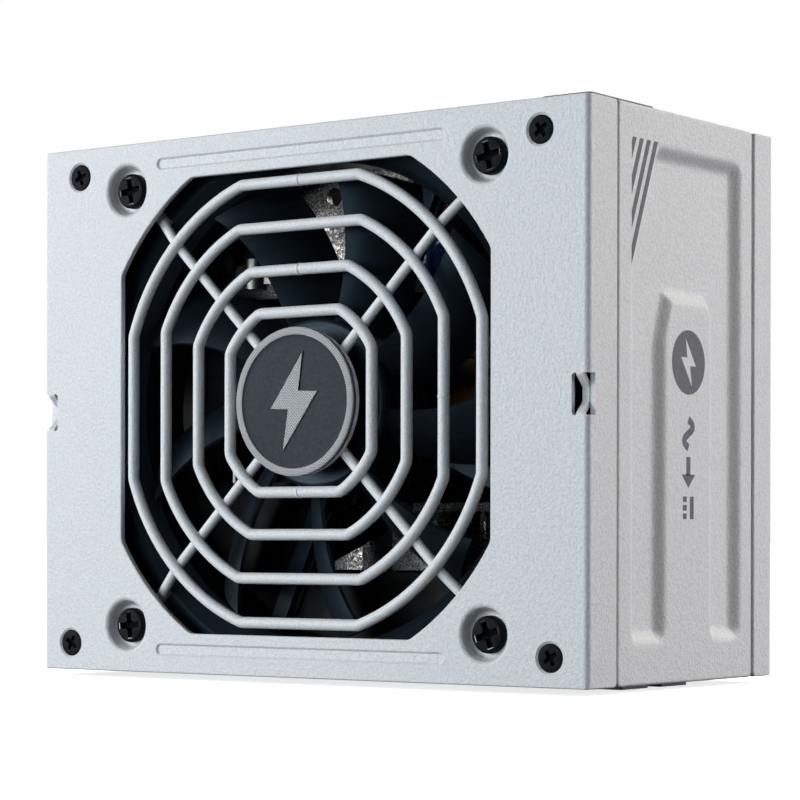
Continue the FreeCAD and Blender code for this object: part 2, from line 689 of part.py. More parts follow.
def blade_section(distance, middle):
    """Closed cambered section of a blade in one plane across the blade."""
    front = Vector(distance, BLADE_FRONT, edge_offset(distance, lead_angle, middle))
    rear = Vector(distance, BLADE_REAR, edge_offset(distance, trail_angle, middle))
    chord = rear - front
    across = Vector(0, chord.z, -chord.y).normalize()
    if across.y > 0:
        across = across * -1
    camber = 0.1 * chord.Length
    faces = []
    for side in (1, -1):
        points = []
        for step in range(7):
            t = step / 6
            bulge = 4 * t * (1 - t)
            half = 0.34 + 0.42 * bulge - 0.1 * t
            points.append(front + chord * t + across * (camber * bulge + side * half))
        faces.append(points)
    edges = []
    top = Part.BSplineCurve()
    top.interpolate(faces[0])
    bottom = Part.BSplineCurve()
    bottom.interpolate(faces[1][::-1])
    edges.append(top.toShape())
    edges.append(Part.LineSegment(faces[0][-1], faces[1][-1]).toShape())
    edges.append(bottom.toShape())
    edges.append(Part.LineSegment(faces[1][0], faces[0][0]).toShape())
    return Part.Wire(edges)


def fan_blade():
    """One blade, leading edge ahead in the turning sense, cut round at its tip."""
    middle = -11.0
    distances = (14.75, 20.0, 27.0, 34.0, 40.0, 44.0)
    loft = Part.makeLoft([blade_section(d, middle) for d in distances], True, False)
    blade = loft.common(rod(0, 0, 0, TIP_R, 25, BACK))
    blade.rotate(Vector(0, 0, 0), BACK, -(FIRST_BLADE + middle))
    return blade


def fan_rotor():
    cup = rod(0, HUB_FRONT, 0, HUB_R, HUB_REAR - HUB_FRONT, BACK)
    cup = fillet_where(cup, 1.1, lambda e: e.CenterOfMass.y < HUB_FRONT + 0.1)
    cup = cup.cut(rod(0, HUB_FRONT + 1.5, 0, HUB_R - 1.4, HUB_REAR, BACK))
    cup = cup.fuse(rod(0, HUB_FRONT + 1.4, 0, 2.6, 1.5, BACK)).cut(rod(0, HUB_FRONT + 0.8, 0, SHAFT_R, 5, BACK))
    groove = ring(0, HUB_FRONT - 0.1, 0, 14.2, 13.8, 0.25, BACK)
    cup = cup.cut(groove)
    blades = []
    for index in range(BLADES):
        blade = fan_blade()
        blade.rotate(Vector(0, 0, 0), BACK, -360.0 / BLADES * index)
        blades.append(blade)
    rotor = cup.fuse(blades)
    rotor.translate(UP * AXIS_Z)
    return rotor


def rotor_yoke():
    return ring(0, HUB_FRONT + 1.5, AXIS_Z, HUB_R - 1.4, 13.4, 9.2, BACK)


def rotor_magnet():
    return ring(0, 8.0, AXIS_Z, 13.4, 11.9, 8.0, BACK)


def rotor_shaft():
    return rod(0, HUB_FRONT + 0.8, AXIS_Z, SHAFT_R, 11.8, BACK)


def bearing_sleeve():
    return ring(0, 8.8, AXIS_Z, 3.0, SHAFT_R + 0.05, 9.3, BACK)


def stator_core():
    """Four-pole laminated core around the bearing tube."""
    shoes = ring(0, 10, AXIS_Z, 11.3, 9.8, 5, BACK)
    core = ring(0, 10, AXIS_Z, 6.0, 4.0, 5, BACK)
    arms = []
    slots = []
    for angle in range(0, 360, 90):
        arm = box(5.5, 10.4, 10, 15, -1.5, 1.5)
        arm.rotate(Vector(0, 0, 0), BACK, angle)
        arms.append(placed(arm, 0, 0, AXIS_Z))
        slot = box(8, 13, 9, 16, -0.7, 0.7)
        slot.rotate(Vector(0, 0, 0), BACK, angle + 45)
        slots.append(placed(slot, 0, 0, AXIS_Z))
    return core.fuse([shoes.cut(slots), *arms])


def stator_windings():
    coils = []
    for angle in range(0, 360, 90):
        coil = soft_box(6.4, 9.3, 8.9, 16.1, -2.7, 2.7, 0.9, RIGHT)
        coil = coil.cut(box(6, 10, 10, 15, -1.5, 1.5))
        coil.rotate(Vector(0, 0, 0), BACK, angle)
        coils.append(placed(coil, 0, 0, AXIS_Z))
    return group(coils)


def fan_motor_board():
    return ring(0, 16.4, AXIS_Z, 11.8, 4.1, 1.2, BACK)


# ---------------------------------------------------------------- mains inlet and switch

def chamfered_rectangle(x, y, width, height, chamfer, z):
    """Inlet outline: a rectangle with its two far corners cut off."""
    w = width / 2
    h = height / 2
    return [Vector(x - w, y - h, z), Vector(x + w, y - h, z), Vector(x + w, y + h - chamfer, z),
            Vector(x + w - chamfer, y + h, z), Vector(x - w + chamfer, y + h, z),
            Vector(x - w, y + h - chamfer, z)]


def ac_inlet():
    x, y = INLET
    width, height = INLET_BODY
    bezel = soft_box(x - 15.35, x + 15.35, y - 11.5, y + 11.5, CASE_H, CASE_H + INLET_PROUD, 2.5, UP)
    bezel = fillet_where(bezel, 0.5, lambda e: e.CenterOfMass.z > CASE_H + INLET_PROUD - 0.01)
    body = soft_box(x - width / 2, x + width / 2, y - height / 2, y + height / 2,
                    CASE_H - INLET_DEPTH, CASE_H + 0.1, 1.0, UP)
    outline = chamfered_rectangle(x, y, *INLET_CAVITY, 4.5, CASE_H - INLET_DEPTH + 2)
    cavity = prism(outline, UP * INLET_DEPTH)
    slots = [placed(box(-1, 1, -2, 2, -5, 5), px, py, CASE_H - INLET_DEPTH) for px, py in inlet_pin_places()]
    return bezel.fuse(body).cut([cavity, *slots])


def inlet_pin_places():
    x, y = INLET
    return ((x - 7, y - 2), (x + 7, y - 2), (x, y + 2))


def inlet_pins():
    """Three blades with rounded tips and solder tabs behind."""
    pins = []
    low = CASE_H - INLET_DEPTH
    for x, y in inlet_pin_places():
        blade = soft_box(x - 1, x + 1, y - 2, y + 2, low - 1, CASE_H - 1.5, 0.5, UP)
        tab = box(x - 0.4, x + 0.4, y - 2, y + 2, low - 7, low - 0.5)
        pins.append(blade.fuse(tab))
    return group(pins)


def switch_housing():
    x, y = SWITCH
    bx, by = SWITCH_BEZEL
    wx, wy = SWITCH_WINDOW
    bezel = soft_box(x - bx / 2, x + bx / 2, y - by / 2, y + by / 2, CASE_H, CASE_H + SWITCH_PROUD, 1.0, UP)
    bezel = fillet_where(bezel, 0.4, lambda e: e.CenterOfMass.z > CASE_H + SWITCH_PROUD - 0.01)
    body = box(x - wx / 2 - 0.45, x + wx / 2 + 0.45, y - wy / 2 - 0.55, y + wy / 2 + 0.55, 86, CASE_H + 0.1)
    window = box(x - wx / 2, x + wx / 2, y - wy / 2, y + wy / 2, 91.5, CASE_H + 5)
    bores = rod(x - wx / 2 - 0.3, y, PIVOT_Z, 1.06, wx + 0.6, RIGHT)
    return bezel.fuse(body).cut([window, bores])


def power_rocker():
    """Rocker with a shallow V top, resting with its front half pressed down."""
    x = SWITCH[0]
    half = 8.6
    valley = 2.9
    rise = half * math.tan(math.radians(ROCKER_TILT))
    profile = [(0, valley), (half, valley + rise), (half - 0.3, -1.0), (3.0, -3.4), (-3.0, -3.4),
               (-half + 0.3, -1.0), (-half, valley + rise)]
    body = prism([Vector(-3.75, py, pz) for py, pz in profile], RIGHT * 7.5)
    body = fillet_where(body, 0.35, lambda e: e.CenterOfMass.z > valley - 0.5 and not along(e, UP))
    body = body.fuse(rod(-4.2, 0, 0, 1.0, 8.4, RIGHT))
    body.rotate(Vector(0, 0, 0), RIGHT, ROCKER_TILT)
    return placed(body, x, SWITCH[1], PIVOT_Z)


def switch_terminals():
    x, y = SWITCH
    return group(soft_box(x - 2.4, x + 2.4, y + dy - 0.4, y + dy + 0.4, 78.5, 86.0, 0.6, BACK) for dy in (-5, 5))


def wire_group(routes, radius):
    return group(routed(route, radius) for route in routes)


def mains_wires():
    """Line and neutral from the inlet's tabs to the board, and the pair from the board to the switch."""
    (lx, ly), (nx, ny), _ = inlet_pin_places()
    sx, sy = SWITCH
    end = BOARD_FRONT
    routes = [[(lx, ly + 2, 77.5), (lx, ly + 6.5, 77.5), (lx - 2, ly + 12, 78.8), (lx - 2, end, 78.8)],
              [(nx, ny + 2, 77.5), (nx, ny + 6.5, 77.5), (nx + 1.7, ny + 12, 78.2), (nx + 1.7, end, 78.2)],
              [(sx, sy + 5.4, 82), (sx, 33, 82), (54.4, 44, 79.3), (54.4, end, 79.3)],
              [(sx - 1.3, sy - 4.6, 80), (sx - 1.3, 20.6, 80), (47.6, 28, 75.6), (47.6, end, 75.6)]]
    return wire_group(routes, 0.9)


# ---------------------------------------------------------------- modular sockets

def sockets():
    """Name, left edge, width and row depth of every socket."""
    def wide(columns):
        return columns * SOCKET_PITCH + 2.0
    rows = ((("socket_main_18", 9), ("socket_main_10", 5), ("socket_power_1", 4), ("socket_drive", 3)),
            tuple((f"socket_power_{index}", 4) for index in (2, 3, 4, 5)))
    placed_sockets = []
    for depth, row in zip(SOCKET_ROWS, rows):
        gap = (2 * SOCKETS_END - sum(wide(c) for _, c in row)) / (len(row) - 1)
        x = -SOCKETS_END
        for name, columns in row:
            placed_sockets.append((name, x, wide(columns), depth))
            x += wide(columns) + gap
    return placed_sockets


def socket_cells(x0, width, row):
    """Centres of the two rows of cells of one socket."""
    columns = round((width - 2.0) / SOCKET_PITCH)
    return [(x0 + 1.0 + SOCKET_PITCH * (c + 0.5), row + side * SOCKET_PITCH / 2)
            for c in range(columns) for side in (-1, 1)]


def socket_housing(x0, width, row):
    """Header shell with one square cell for each contact and a latch lug on one side."""
    shell = soft_box(x0, x0 + width, row - SOCKET_D / 2, row + SOCKET_D / 2, -SOCKET_PROUD, SOCKET_TOP, 0.5, UP)
    half = (SOCKET_PITCH - SOCKET_WALL) / 2
    cells = [box(x - half, x + half, y - half, y + half, -SOCKET_PROUD - 1, SOCKET_TOP - 2)
             for x, y in socket_cells(x0, width, row)]
    slots = [box(x - 0.42, x + 0.42, y - 0.42, y + 0.42, SOCKET_TOP - 3, SOCKET_TOP + 1)
             for x, y in socket_cells(x0, width, row)]
    middle = x0 + width / 2
    latch = box(middle - 1.7, middle + 1.7, row + SOCKET_D / 2 - 0.2, row + SOCKET_D / 2 + 1.6, 1.6, 5.0)
    return shell.cut([*cells, *slots]).fuse(latch)


def socket_pins():
    pins = []
    for _, x0, width, row in sockets():
        for x, y in socket_cells(x0, width, row):
            pins.append(box(x - 0.42, x + 0.42, y - 0.42, y + 0.42, 1.5, SOCKET_TOP + 2.6))
    return group(pins)


def socket_board():
    board = box(-57, 57, 21.6, 55.4, SOCKET_TOP, SOCKET_TOP + 1.6)
    holes = [box(x - 0.42, x + 0.42, y - 0.42, y + 0.42, SOCKET_TOP - 1, SOCKET_TOP + 3)
             for _, x0, width, row in sockets() for x, y in socket_cells(x0, width, row)]
    return board.cut(holes)


def busbars():
    """Copper straps that carry the outputs from the main board to the socket board."""
    low = SOCKET_TOP + 1.6
    straps = []
    for x in (-42, -21, 0, 21, 42):
        foot = box(x - 4, x + 4, 48.0, 54.6, low, low + 1.2)
        riser = box(x - 4, x + 4, 53.4, 54.6, low, 20)
        head = box(x - 4, x + 4, 53.4, BOARD_FRONT, 18.8, 20)
        straps.append(foot.fuse([riser, head]))
    return group(straps)


# ---------------------------------------------------------------- main board and its components

def main_board():
    board = box(-BOARD_X, BOARD_X, BOARD_FRONT, BOARD_REAR, *BOARD_Z)
    return board.cut([rod(x, BOARD_FRONT - 1, z, 1.35, 4, BACK) for x, z in STANDOFFS])


def insulating_sheet():
    sheet = soft_box(-57, 57, 60.9, 61.3, 13, 93, 3, BACK)
    return sheet.cut([rod(x, 60, z, 3.0, 3, BACK) for x, z in STANDOFFS])


def on_board(x, z, radius, height):
    """Upright cylinder standing on the main board, with its rolled edge."""
    can = rod(x, BOARD_FRONT - height, z, radius, height, BACK)
    return fillet_where(can, min(0.8, radius / 5), lambda e: e.CenterOfMass.y < BOARD_FRONT - height + 0.1)


def bulk_capacitor():
    x = -40.5
    z = 57.0
    height = 33.5
    radius = 13.5
    can = on_board(x, z, radius, height)
    crimp = ring(x, BOARD_FRONT - 4.5, z, radius + 1, radius - 0.5, 1.2, BACK)
    vents = [box(x - 6, x + 6, 22, BOARD_FRONT - height + 0.4, z - 0.3, z + 0.3),
             box(x - 0.3, x + 0.3, 22, BOARD_FRONT - height + 0.4, z - 6, z + 6)]
    return can.cut([crimp, *vents])


def transformer_core():
    """Ferrite core: two end plates, side legs and a centre leg."""
    x0 = 8.0
    x1 = 40.0
    z0 = 38.0
    z1 = 64.0
    outer = soft_box(x0, x1, 27.5, 55.0, z0, z1, 1.0, RIGHT)
    window = box(x0 + 5, x1 - 5, 26, 57, z0 + 5, z1 - 5)
    leg = box(x0 + 12, x1 - 12, 27.5, 55.0, z0 + 4, z1 - 4)
    return outer.cut(window).fuse(leg)


def transformer_winding():
    """Taped winding around the centre leg, showing past both faces of the core."""
    coil = soft_box(13.3, 34.7, 28.3, BOARD_FRONT, 43.3, 58.7, 3.0, BACK)
    return coil.cut(box(19.8, 28.2, 27.4, 55.1, 41, 61))


def toroid(x, y, z, radius, section, axis):
    return Part.makeTorus(radius, section, Vector(x, y, z), axis)


def wound(x, y, z, radius, section, wire_r, turns, first, last):
    """Wire turns around a ring core that lies flat on the board; angles in degrees."""
    loops = []
    for index in range(turns):
        angle = first + (last - first) * index / (turns - 1)
        loop = Part.makeTorus(section + wire_r + 0.05, wire_r, Vector(radius, 0, 0), UP)
        loop.rotate(Vector(0, 0, 0), BACK, angle)
        loops.append(placed(loop, x, y, z))
    return loops


PFC_CHOKE = (-41.0, 46.0, 29.0, 8.4, 4.0)
EMI_CHOKE = (20.0, 47.5, 81.0, 7.0, 2.9)


def choke_cores():
    return group([toroid(*PFC_CHOKE, BACK), toroid(*EMI_CHOKE, BACK)])


def choke_windings():
    """One winding all round the power choke, and two halves on the line filter choke."""
    loops = wound(*PFC_CHOKE, 0.65, 17, 0, 330)
    loops += wound(*EMI_CHOKE, 0.5, 9, 20, 160)
    loops += wound(*EMI_CHOKE, 0.5, 9, 200, 340)
    return group(loops)


HEATSINK_FACE = 23.0
HEATSINK_OUTLINE = ((-20.0, 28.5), (-9.9, 28.5), (-5.0, 32.0), (-5.0, 76.0), (8.0, 79.0), (8.0, 95.8),
                    (-20.0, 95.8), (-20.0, 90.0), (-42.0, 90.0), (-42.0, 71.5), (-20.0, 71.5))


def primary_heatsink():
    """Upright plate with fins, and a front flange with a hole and a slot that faces the fan."""
    plate = box(-20, -17.5, HEATSINK_FACE, 55.0, 26, 88)
    flange = prism([Vector(x, HEATSINK_FACE, z) for x, z in HEATSINK_OUTLINE], BACK * 1.6)
    hole = rod(-9.2, HEATSINK_FACE - 1, 90.0, 1.8, 4, BACK)
    slot = soft_box(-38.4, -31.2, HEATSINK_FACE - 1, HEATSINK_FACE + 3, 77.2, 80.4, 1.5, BACK)
    fins = [box(-17.6, -6, HEATSINK_FACE + 5.2 * k, HEATSINK_FACE + 1.4 + 5.2 * k, 29, 58) for k in range(1, 6)]
    return join([plate, flange.cut([hole, slot]), *fins])


def heatsink_clip():
    """Bent spring strip on the face of the heatsink, with a foot on each side."""
    x = -28.4
    low = 73.4
    high = 79.2
    arch = ring(x, HEATSINK_FACE, low, 2.5, 1.9, high - low, UP)
    arch = arch.common(box(x - 3, x + 3, HEATSINK_FACE - 3, HEATSINK_FACE, low, high))
    feet = [box(x - 4.6, x - 1.9, HEATSINK_FACE - 0.6, HEATSINK_FACE, low + 1, high - 1),
            box(x + 1.9, x + 4.6, HEATSINK_FACE - 0.6, HEATSINK_FACE, low + 1, high - 1)]
    return join([arch, *feet])


BAFFLE_OUTLINE = ((-45.0, 5.0), (45.0, 5.0), (45.0, 19.0), (-12.5, 19.0), (-12.5, 36.0), (-45.0, 36.0))


def air_baffle():
    """Black plastic sheet behind the fan's lower part, with ribs that stiffen its low edge."""
    sheet = prism([Vector(x, FAN_REAR, z) for x, z in BAFFLE_OUTLINE], BACK * 0.5)
    ribs = [box(-12, 42, FAN_REAR, FAN_REAR + 1.1, z, z + 0.7) for z in (10.5, 12.7, 14.9, 17.1)]
    return sheet.fuse(ribs)


def transistor(x, y, z):
    """Flat power transistor lying against the left face of the heatsink plate."""
    body = box(x - 4.6, x, y, y + 15, z - 7.7, z + 7.7)
    tab = rod(x - 6, y + 3.5, z, 1.8, 8, RIGHT)
    legs = [box(x - 2.6, x - 2.0, y + 15, BOARD_FRONT, z + dz - 0.5, z + dz + 0.5) for dz in (-5, 0, 5)]
    return body.cut(tab).fuse(legs)


def power_transistors():
    return group(transistor(-20.0, 36.0, z) for z in (36.0, 53.0))


def bridge_rectifier():
    body = soft_box(-24.0, -20.0, 34.0, 50.0, 76.0, 88.0, 0.5, RIGHT)
    legs = [box(-22.4, -21.6, 50.0, BOARD_FRONT, z - 0.5, z + 0.5) for z in (77.5, 80.8, 83.8, 86.5)]
    return body.cut(rod(-25, 38, 82, 1.7, 6, RIGHT)).fuse(legs)


SHIELD_OUTLINE = ((-9.3, 19.4), (16.0, 19.4), (16.0, 27.0), (4.0, 27.0), (-9.3, 21.0))


def secondary_heatsink():
    """Front plate with a slanted top, a shelf below the transformer and rows of fins between them."""
    face = prism([Vector(x, 23.5, z) for x, z in SHIELD_OUTLINE], BACK * 1.5)
    shelf = box(0, 46, 30.0, 55.5, 30.4, 32.0)
    fins = []
    for x in [2 + 5.2 * k for k in range(9)]:
        front = 25.0 if x < SHIELD_OUTLINE[1][0] - 1.2 else 33.0
        fins.append(box(x, x + 1.2, front, 44, 22.5, 30.5))
    return join([face, shelf, *fins])


def output_capacitors():
    return group(on_board(4 + 8.4 * index, 24.4, 3.9, 11.5) for index in range(6))


def control_board():
    return box(49.0, 50.6, 30.0, BOARD_FRONT, 30.0, 58.5)


def control_chips():
    chips = [box(47.2, 49.0, y, y + dy, z, z + dz)
             for y, dy, z, dz in ((34, 7, 33, 9), (44, 5, 34, 5), (35, 5, 46, 6), (44, 8, 44, 10))]
    return group(chips)


def x_capacitor():
    """Boxed film capacitor next to the line filter."""
    return soft_box(-10.0, 7.6, 33.0, BOARD_FRONT, 72.0, 90.0, 0.8, BACK)


Y_CAPACITORS = ((9.6, 30.0, 77.5, (-3.7, -1.0)), (33.0, 36.0, 74.0, (-2.5, 2.5)), (42.0, 36.0, 74.5, (-2.5, 2.5)))


def y_capacitors():
    """Blue disc capacitors on wire legs."""
    discs = []
    for x, depth, z, legs in Y_CAPACITORS:
        disc = rod(x - 1.7, depth, z, 4.2, 3.4, RIGHT)
        disc = fillet_where(disc, 1.2, lambda e: True)
        discs.append(disc.fuse([rod(x, depth, z + dz, 0.35, BOARD_FRONT - depth, BACK) for dz in legs]))
    return group(discs)


FAN_PLUG = (40.5, 86.0)
LEAD_R = 0.6
LEAD_ROUTES = (((-8.0, 20.4, 61.2), (6.0, 20.6, 74.5), (18.3, 20.8, 86.3), (26.0, 22.5, 91.3), (31.5, 31.0, 91.4),
                (34.0, 40.0, 89.5), (39.6, 45.8, 86.0), (39.6, 49.5, 86.0)),
               ((-9.4, 20.4, 62.7), (4.7, 20.6, 76.0), (17.0, 20.8, 87.8), (25.6, 22.5, 93.4), (33.0, 31.0, 93.2),
                (37.0, 40.0, 90.5), (41.3, 45.8, 86.0), (41.3, 49.5, 86.0)))


def fan_lead():
    """Two wires from the fan motor, along a strut of the fan and over to the board."""
    return wire_group(LEAD_ROUTES, LEAD_R)


def fan_plug():
    """Plug on the end of the fan lead, pushed onto the board's pins."""
    x, z = FAN_PLUG
    plug = soft_box(x - 3, x + 3, 48.0, BOARD_FRONT, z - 2.5, z + 2.5, 0.4, BACK)
    return plug.cut([rod(route[-1][0], 47.0, z, LEAD_R + 0.02, 2.5, BACK) for route in LEAD_ROUTES])


PIECES = {
    "fan_cover": fan_cover, "base_tray": base_tray, "mains_panel": mains_panel, "socket_panel": socket_panel,
    "side_panel_right": side_panel, "cover_screws": cover_screws, "base_screws": base_screws,
    "fan_screws": fan_screws, "fan_guard": fan_guard, "badge_plate": badge_plate, "fan_badge": fan_badge,
    "fan_frame": fan_frame, "fan_rotor": fan_rotor, "rotor_yoke": rotor_yoke, "rotor_magnet": rotor_magnet,
    "rotor_shaft": rotor_shaft, "bearing_sleeve": bearing_sleeve, "stator_core": stator_core,
    "stator_windings": stator_windings, "fan_motor_board": fan_motor_board, "fan_lead": fan_lead,
    "fan_plug": fan_plug, "ac_inlet": ac_inlet, "inlet_pins": inlet_pins,
    "switch_housing": switch_housing, "power_rocker": power_rocker, "switch_terminals": switch_terminals,
    "mains_wires": mains_wires, "insulating_sheet": insulating_sheet, "main_board": main_board,
    "board_standoffs": board_standoffs, "board_screws": board_screws, "bulk_capacitor": bulk_capacitor,
    "transformer_core": transformer_core, "transformer_winding": transformer_winding,
    "choke_cores": choke_cores, "choke_windings": choke_windings, "heatsink_clip": heatsink_clip,
    "air_baffle": air_baffle,
    "primary_heatsink": primary_heatsink, "power_transistors": power_transistors,
    "bridge_rectifier": bridge_rectifier, "secondary_heatsink": secondary_heatsink,
    "output_capacitors": output_capacitors, "control_board": control_board, "control_chips": control_chips,
    "x_capacitor": x_capacitor, "y_capacitors": y_capacitors, "socket_board": socket_board,
    "socket_pins": socket_pins, "busbars": busbars,
}

os.makedirs("parts", exist_ok=True)
for piece, make in PIECES.items():
    save(piece, make())
save("side_panel_left", mirror_x(side_panel()))
for socket, left, socket_width, row_depth in sockets():
    save(socket, socket_housing(left, socket_width, row_depth))
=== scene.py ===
import json
import math
import random

import bmesh
import bpy
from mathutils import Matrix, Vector
from mathutils.bvhtree import BVHTree


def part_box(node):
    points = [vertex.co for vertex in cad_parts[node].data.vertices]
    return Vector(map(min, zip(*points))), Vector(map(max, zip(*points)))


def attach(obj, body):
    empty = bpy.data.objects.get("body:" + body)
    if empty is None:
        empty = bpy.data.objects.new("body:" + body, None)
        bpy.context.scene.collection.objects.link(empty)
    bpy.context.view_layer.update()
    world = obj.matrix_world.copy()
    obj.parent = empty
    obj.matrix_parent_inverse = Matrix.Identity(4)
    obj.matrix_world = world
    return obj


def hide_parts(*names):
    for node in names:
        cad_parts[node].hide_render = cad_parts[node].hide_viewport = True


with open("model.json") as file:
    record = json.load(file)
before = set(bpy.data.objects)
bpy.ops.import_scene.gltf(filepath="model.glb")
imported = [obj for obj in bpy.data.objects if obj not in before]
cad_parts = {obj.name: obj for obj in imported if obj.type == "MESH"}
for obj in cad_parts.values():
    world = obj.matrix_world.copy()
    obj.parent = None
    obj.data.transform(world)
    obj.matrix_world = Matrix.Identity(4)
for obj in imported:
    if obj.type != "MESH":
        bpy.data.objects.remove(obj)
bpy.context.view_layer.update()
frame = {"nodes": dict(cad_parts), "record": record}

MM = 0.001
SEEDED = random.Random(7)

# ---------------------------------------------------------------- places taken from the frame

COVER_LOW, COVER_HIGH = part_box("fan_cover")
FACE_Y = COVER_LOW.y
CASE_Z = COVER_LOW.z
HALF_W = COVER_HIGH.x / MM
FAN_HEIGHT = (COVER_HIGH.z - CASE_Z) / 2 / MM
CASE = "case"
ROCKER = "rocker"


def spot(x, depth, height):
    """Point given in millimetres: X, depth behind the fan face, height above the case's underside."""
    return Vector((x * MM, FACE_Y + depth * MM, CASE_Z + height * MM))


# ---------------------------------------------------------------- node trees

class Tree:
    """Short calls that add nodes to one material."""

    def __init__(self, name):
        self.material = bpy.data.materials.new(name)
        self.material.use_nodes = True
        self.nodes = self.material.node_tree.nodes
        self.links = self.material.node_tree.links
        self.shader = self.nodes["Principled BSDF"]
        self.coords = self.nodes.new("ShaderNodeTexCoord").outputs["Object"]

    def set(self, **values):
        for key, value in values.items():
            self.shader.inputs[key.replace("_", " ")].default_value = value

    def feed(self, key, socket):
        self.links.new(socket, self.shader.inputs[key.replace("_", " ")])

    def noise(self, scale, detail=2.0, rough=0.5, stretch=None):
        node = self.nodes.new("ShaderNodeTexNoise")
        node.inputs["Scale"].default_value = scale
        node.inputs["Detail"].default_value = detail
        node.inputs["Roughness"].default_value = rough
        self.links.new(self.stretched(stretch), node.inputs["Vector"])
        return node.outputs["Fac"]

    def stretched(self, factors):
        if factors is None:
            return self.coords
        node = self.nodes.new("ShaderNodeMapping")
        node.inputs["Scale"].default_value = factors
        self.links.new(self.coords, node.inputs["Vector"])
        return node.outputs["Vector"]

    def cells(self, scale, feature="F1", output="Distance"):
        node = self.nodes.new("ShaderNodeTexVoronoi")
        node.feature = feature
        node.inputs["Scale"].default_value = scale
        self.links.new(self.coords, node.inputs["Vector"])
        return node.outputs[output]

    def wave(self, scale, direction, distortion=0.0):
        node = self.nodes.new("ShaderNodeTexWave")
        node.wave_type = "BANDS"
        node.bands_direction = direction
        node.inputs["Scale"].default_value = scale
        node.inputs["Distortion"].default_value = distortion
        self.links.new(self.coords, node.inputs["Vector"])
        return node.outputs["Fac"]

    def ramp(self, fac, low, high, start=0.0, end=1.0):
        node = self.nodes.new("ShaderNodeMapRange")
        node.inputs["From Min"].default_value = start
        node.inputs["From Max"].default_value = end
        node.inputs["To Min"].default_value = low
        node.inputs["To Max"].default_value = high
        self.links.new(fac, node.inputs["Value"])
        return node.outputs["Result"]

    def colours(self, fac, *stops):
        node = self.nodes.new("ShaderNodeValToRGB")
        ramp = node.color_ramp
        ramp.elements[0].position = stops[0][0]
        ramp.elements[0].color = (*stops[0][1], 1)
        ramp.elements[1].position = stops[-1][0]
        ramp.elements[1].color = (*stops[-1][1], 1)
        for place, colour in stops[1:-1]:
            ramp.elements.new(place).color = (*colour, 1)
        self.links.new(fac, node.inputs["Fac"])
        return node.outputs["Color"]

    def mix(self, first, second, fac, mode="MIX"):
        node = self.nodes.new("ShaderNodeMix")
        node.data_type = "RGBA"
        node.blend_type = mode
        if isinstance(fac, float):
            node.inputs["Factor"].default_value = fac
        else:
            self.links.new(fac, node.inputs["Factor"])
        self.links.new(first, node.inputs["A"])
        self.links.new(second, node.inputs["B"])
        return node.outputs["Result"]

    def add(self, first, second, share):
        node = self.nodes.new("ShaderNodeMath")
        node.operation = "MULTIPLY_ADD"
        node.inputs[1].default_value = share
        self.links.new(second, node.inputs[0])
        self.links.new(first, node.inputs[2])
        return node.outputs["Value"]

    def bump(self, height, strength, distance):
        node = self.nodes.new("ShaderNodeBump")
        node.inputs["Strength"].default_value = strength
        node.inputs["Distance"].default_value = distance
        self.links.new(height, node.inputs["Height"])
        self.links.new(node.outputs["Normal"], self.shader.inputs["Normal"])


def grey(value, cool=0.0):
    return (value * (1 - cool), value, value * (1 + cool))


def powder_coat(name, shade, grain, depth):
    """White powder coat: leathery fine grain, a faint speckle and slow changes of tone."""
    tree = Tree(name)
    fine = tree.noise(grain, 3.0, 0.65)
    leather = tree.cells(grain * 0.55, "SMOOTH_F1")
    slow = tree.noise(14.0, 2.0)
    base = tree.colours(slow, (0.35, grey(shade * 0.975, 0.012)), (0.65, grey(shade, 0.006)))
    speckle = tree.colours(fine, (0.36, grey(0.80)), (0.58, grey(1.0)))
    tree.feed("Base_Color", tree.mix(base, speckle, 0.7, "MULTIPLY"))
    tree.feed("Roughness", tree.ramp(fine, 0.62, 0.36, 0.3, 0.7))
    tree.set(Specular_IOR_Level=0.5)
    tree.bump(tree.add(fine, leather, 0.5), 0.8, depth)
    return tree.material


def moulded_plastic(name, low, high, rough, grain=2600.0, depth=0.00003, shine=0.5, tint=(1, 1, 1, 1)):
    """Moulded plastic with a fine spark-eroded grain and slight changes of tone."""
    tree = Tree(name)
    fine = tree.noise(grain, 2.0, 0.6)
    slow = tree.noise(30.0, 3.0)
    tree.feed("Base_Color", tree.colours(slow, (0.3, low), (0.7, high)))
    tree.feed("Roughness", tree.ramp(fine, rough[0], rough[1], 0.3, 0.7))
    tree.set(Specular_IOR_Level=shine, Specular_Tint=tint)
    tree.bump(fine, 0.35, depth)
    return tree.material


def metal(name, low, high, rough, stretch=(1, 1, 1), metallic=1.0, shine=0.5):
    """Metal with fine drawn or ground lines along one direction."""
    tree = Tree(name)
    lines = tree.noise(900.0, 3.0, 0.6, stretch)
    slow = tree.noise(45.0, 2.0)
    tree.feed("Base_Color", tree.colours(slow, (0.3, low), (0.7, high)))
    tree.feed("Roughness", tree.ramp(lines, rough[0], rough[1], 0.3, 0.7))
    tree.set(Metallic=metallic, Specular_IOR_Level=shine)
    tree.bump(lines, 0.3, 0.00002)
    return tree.material


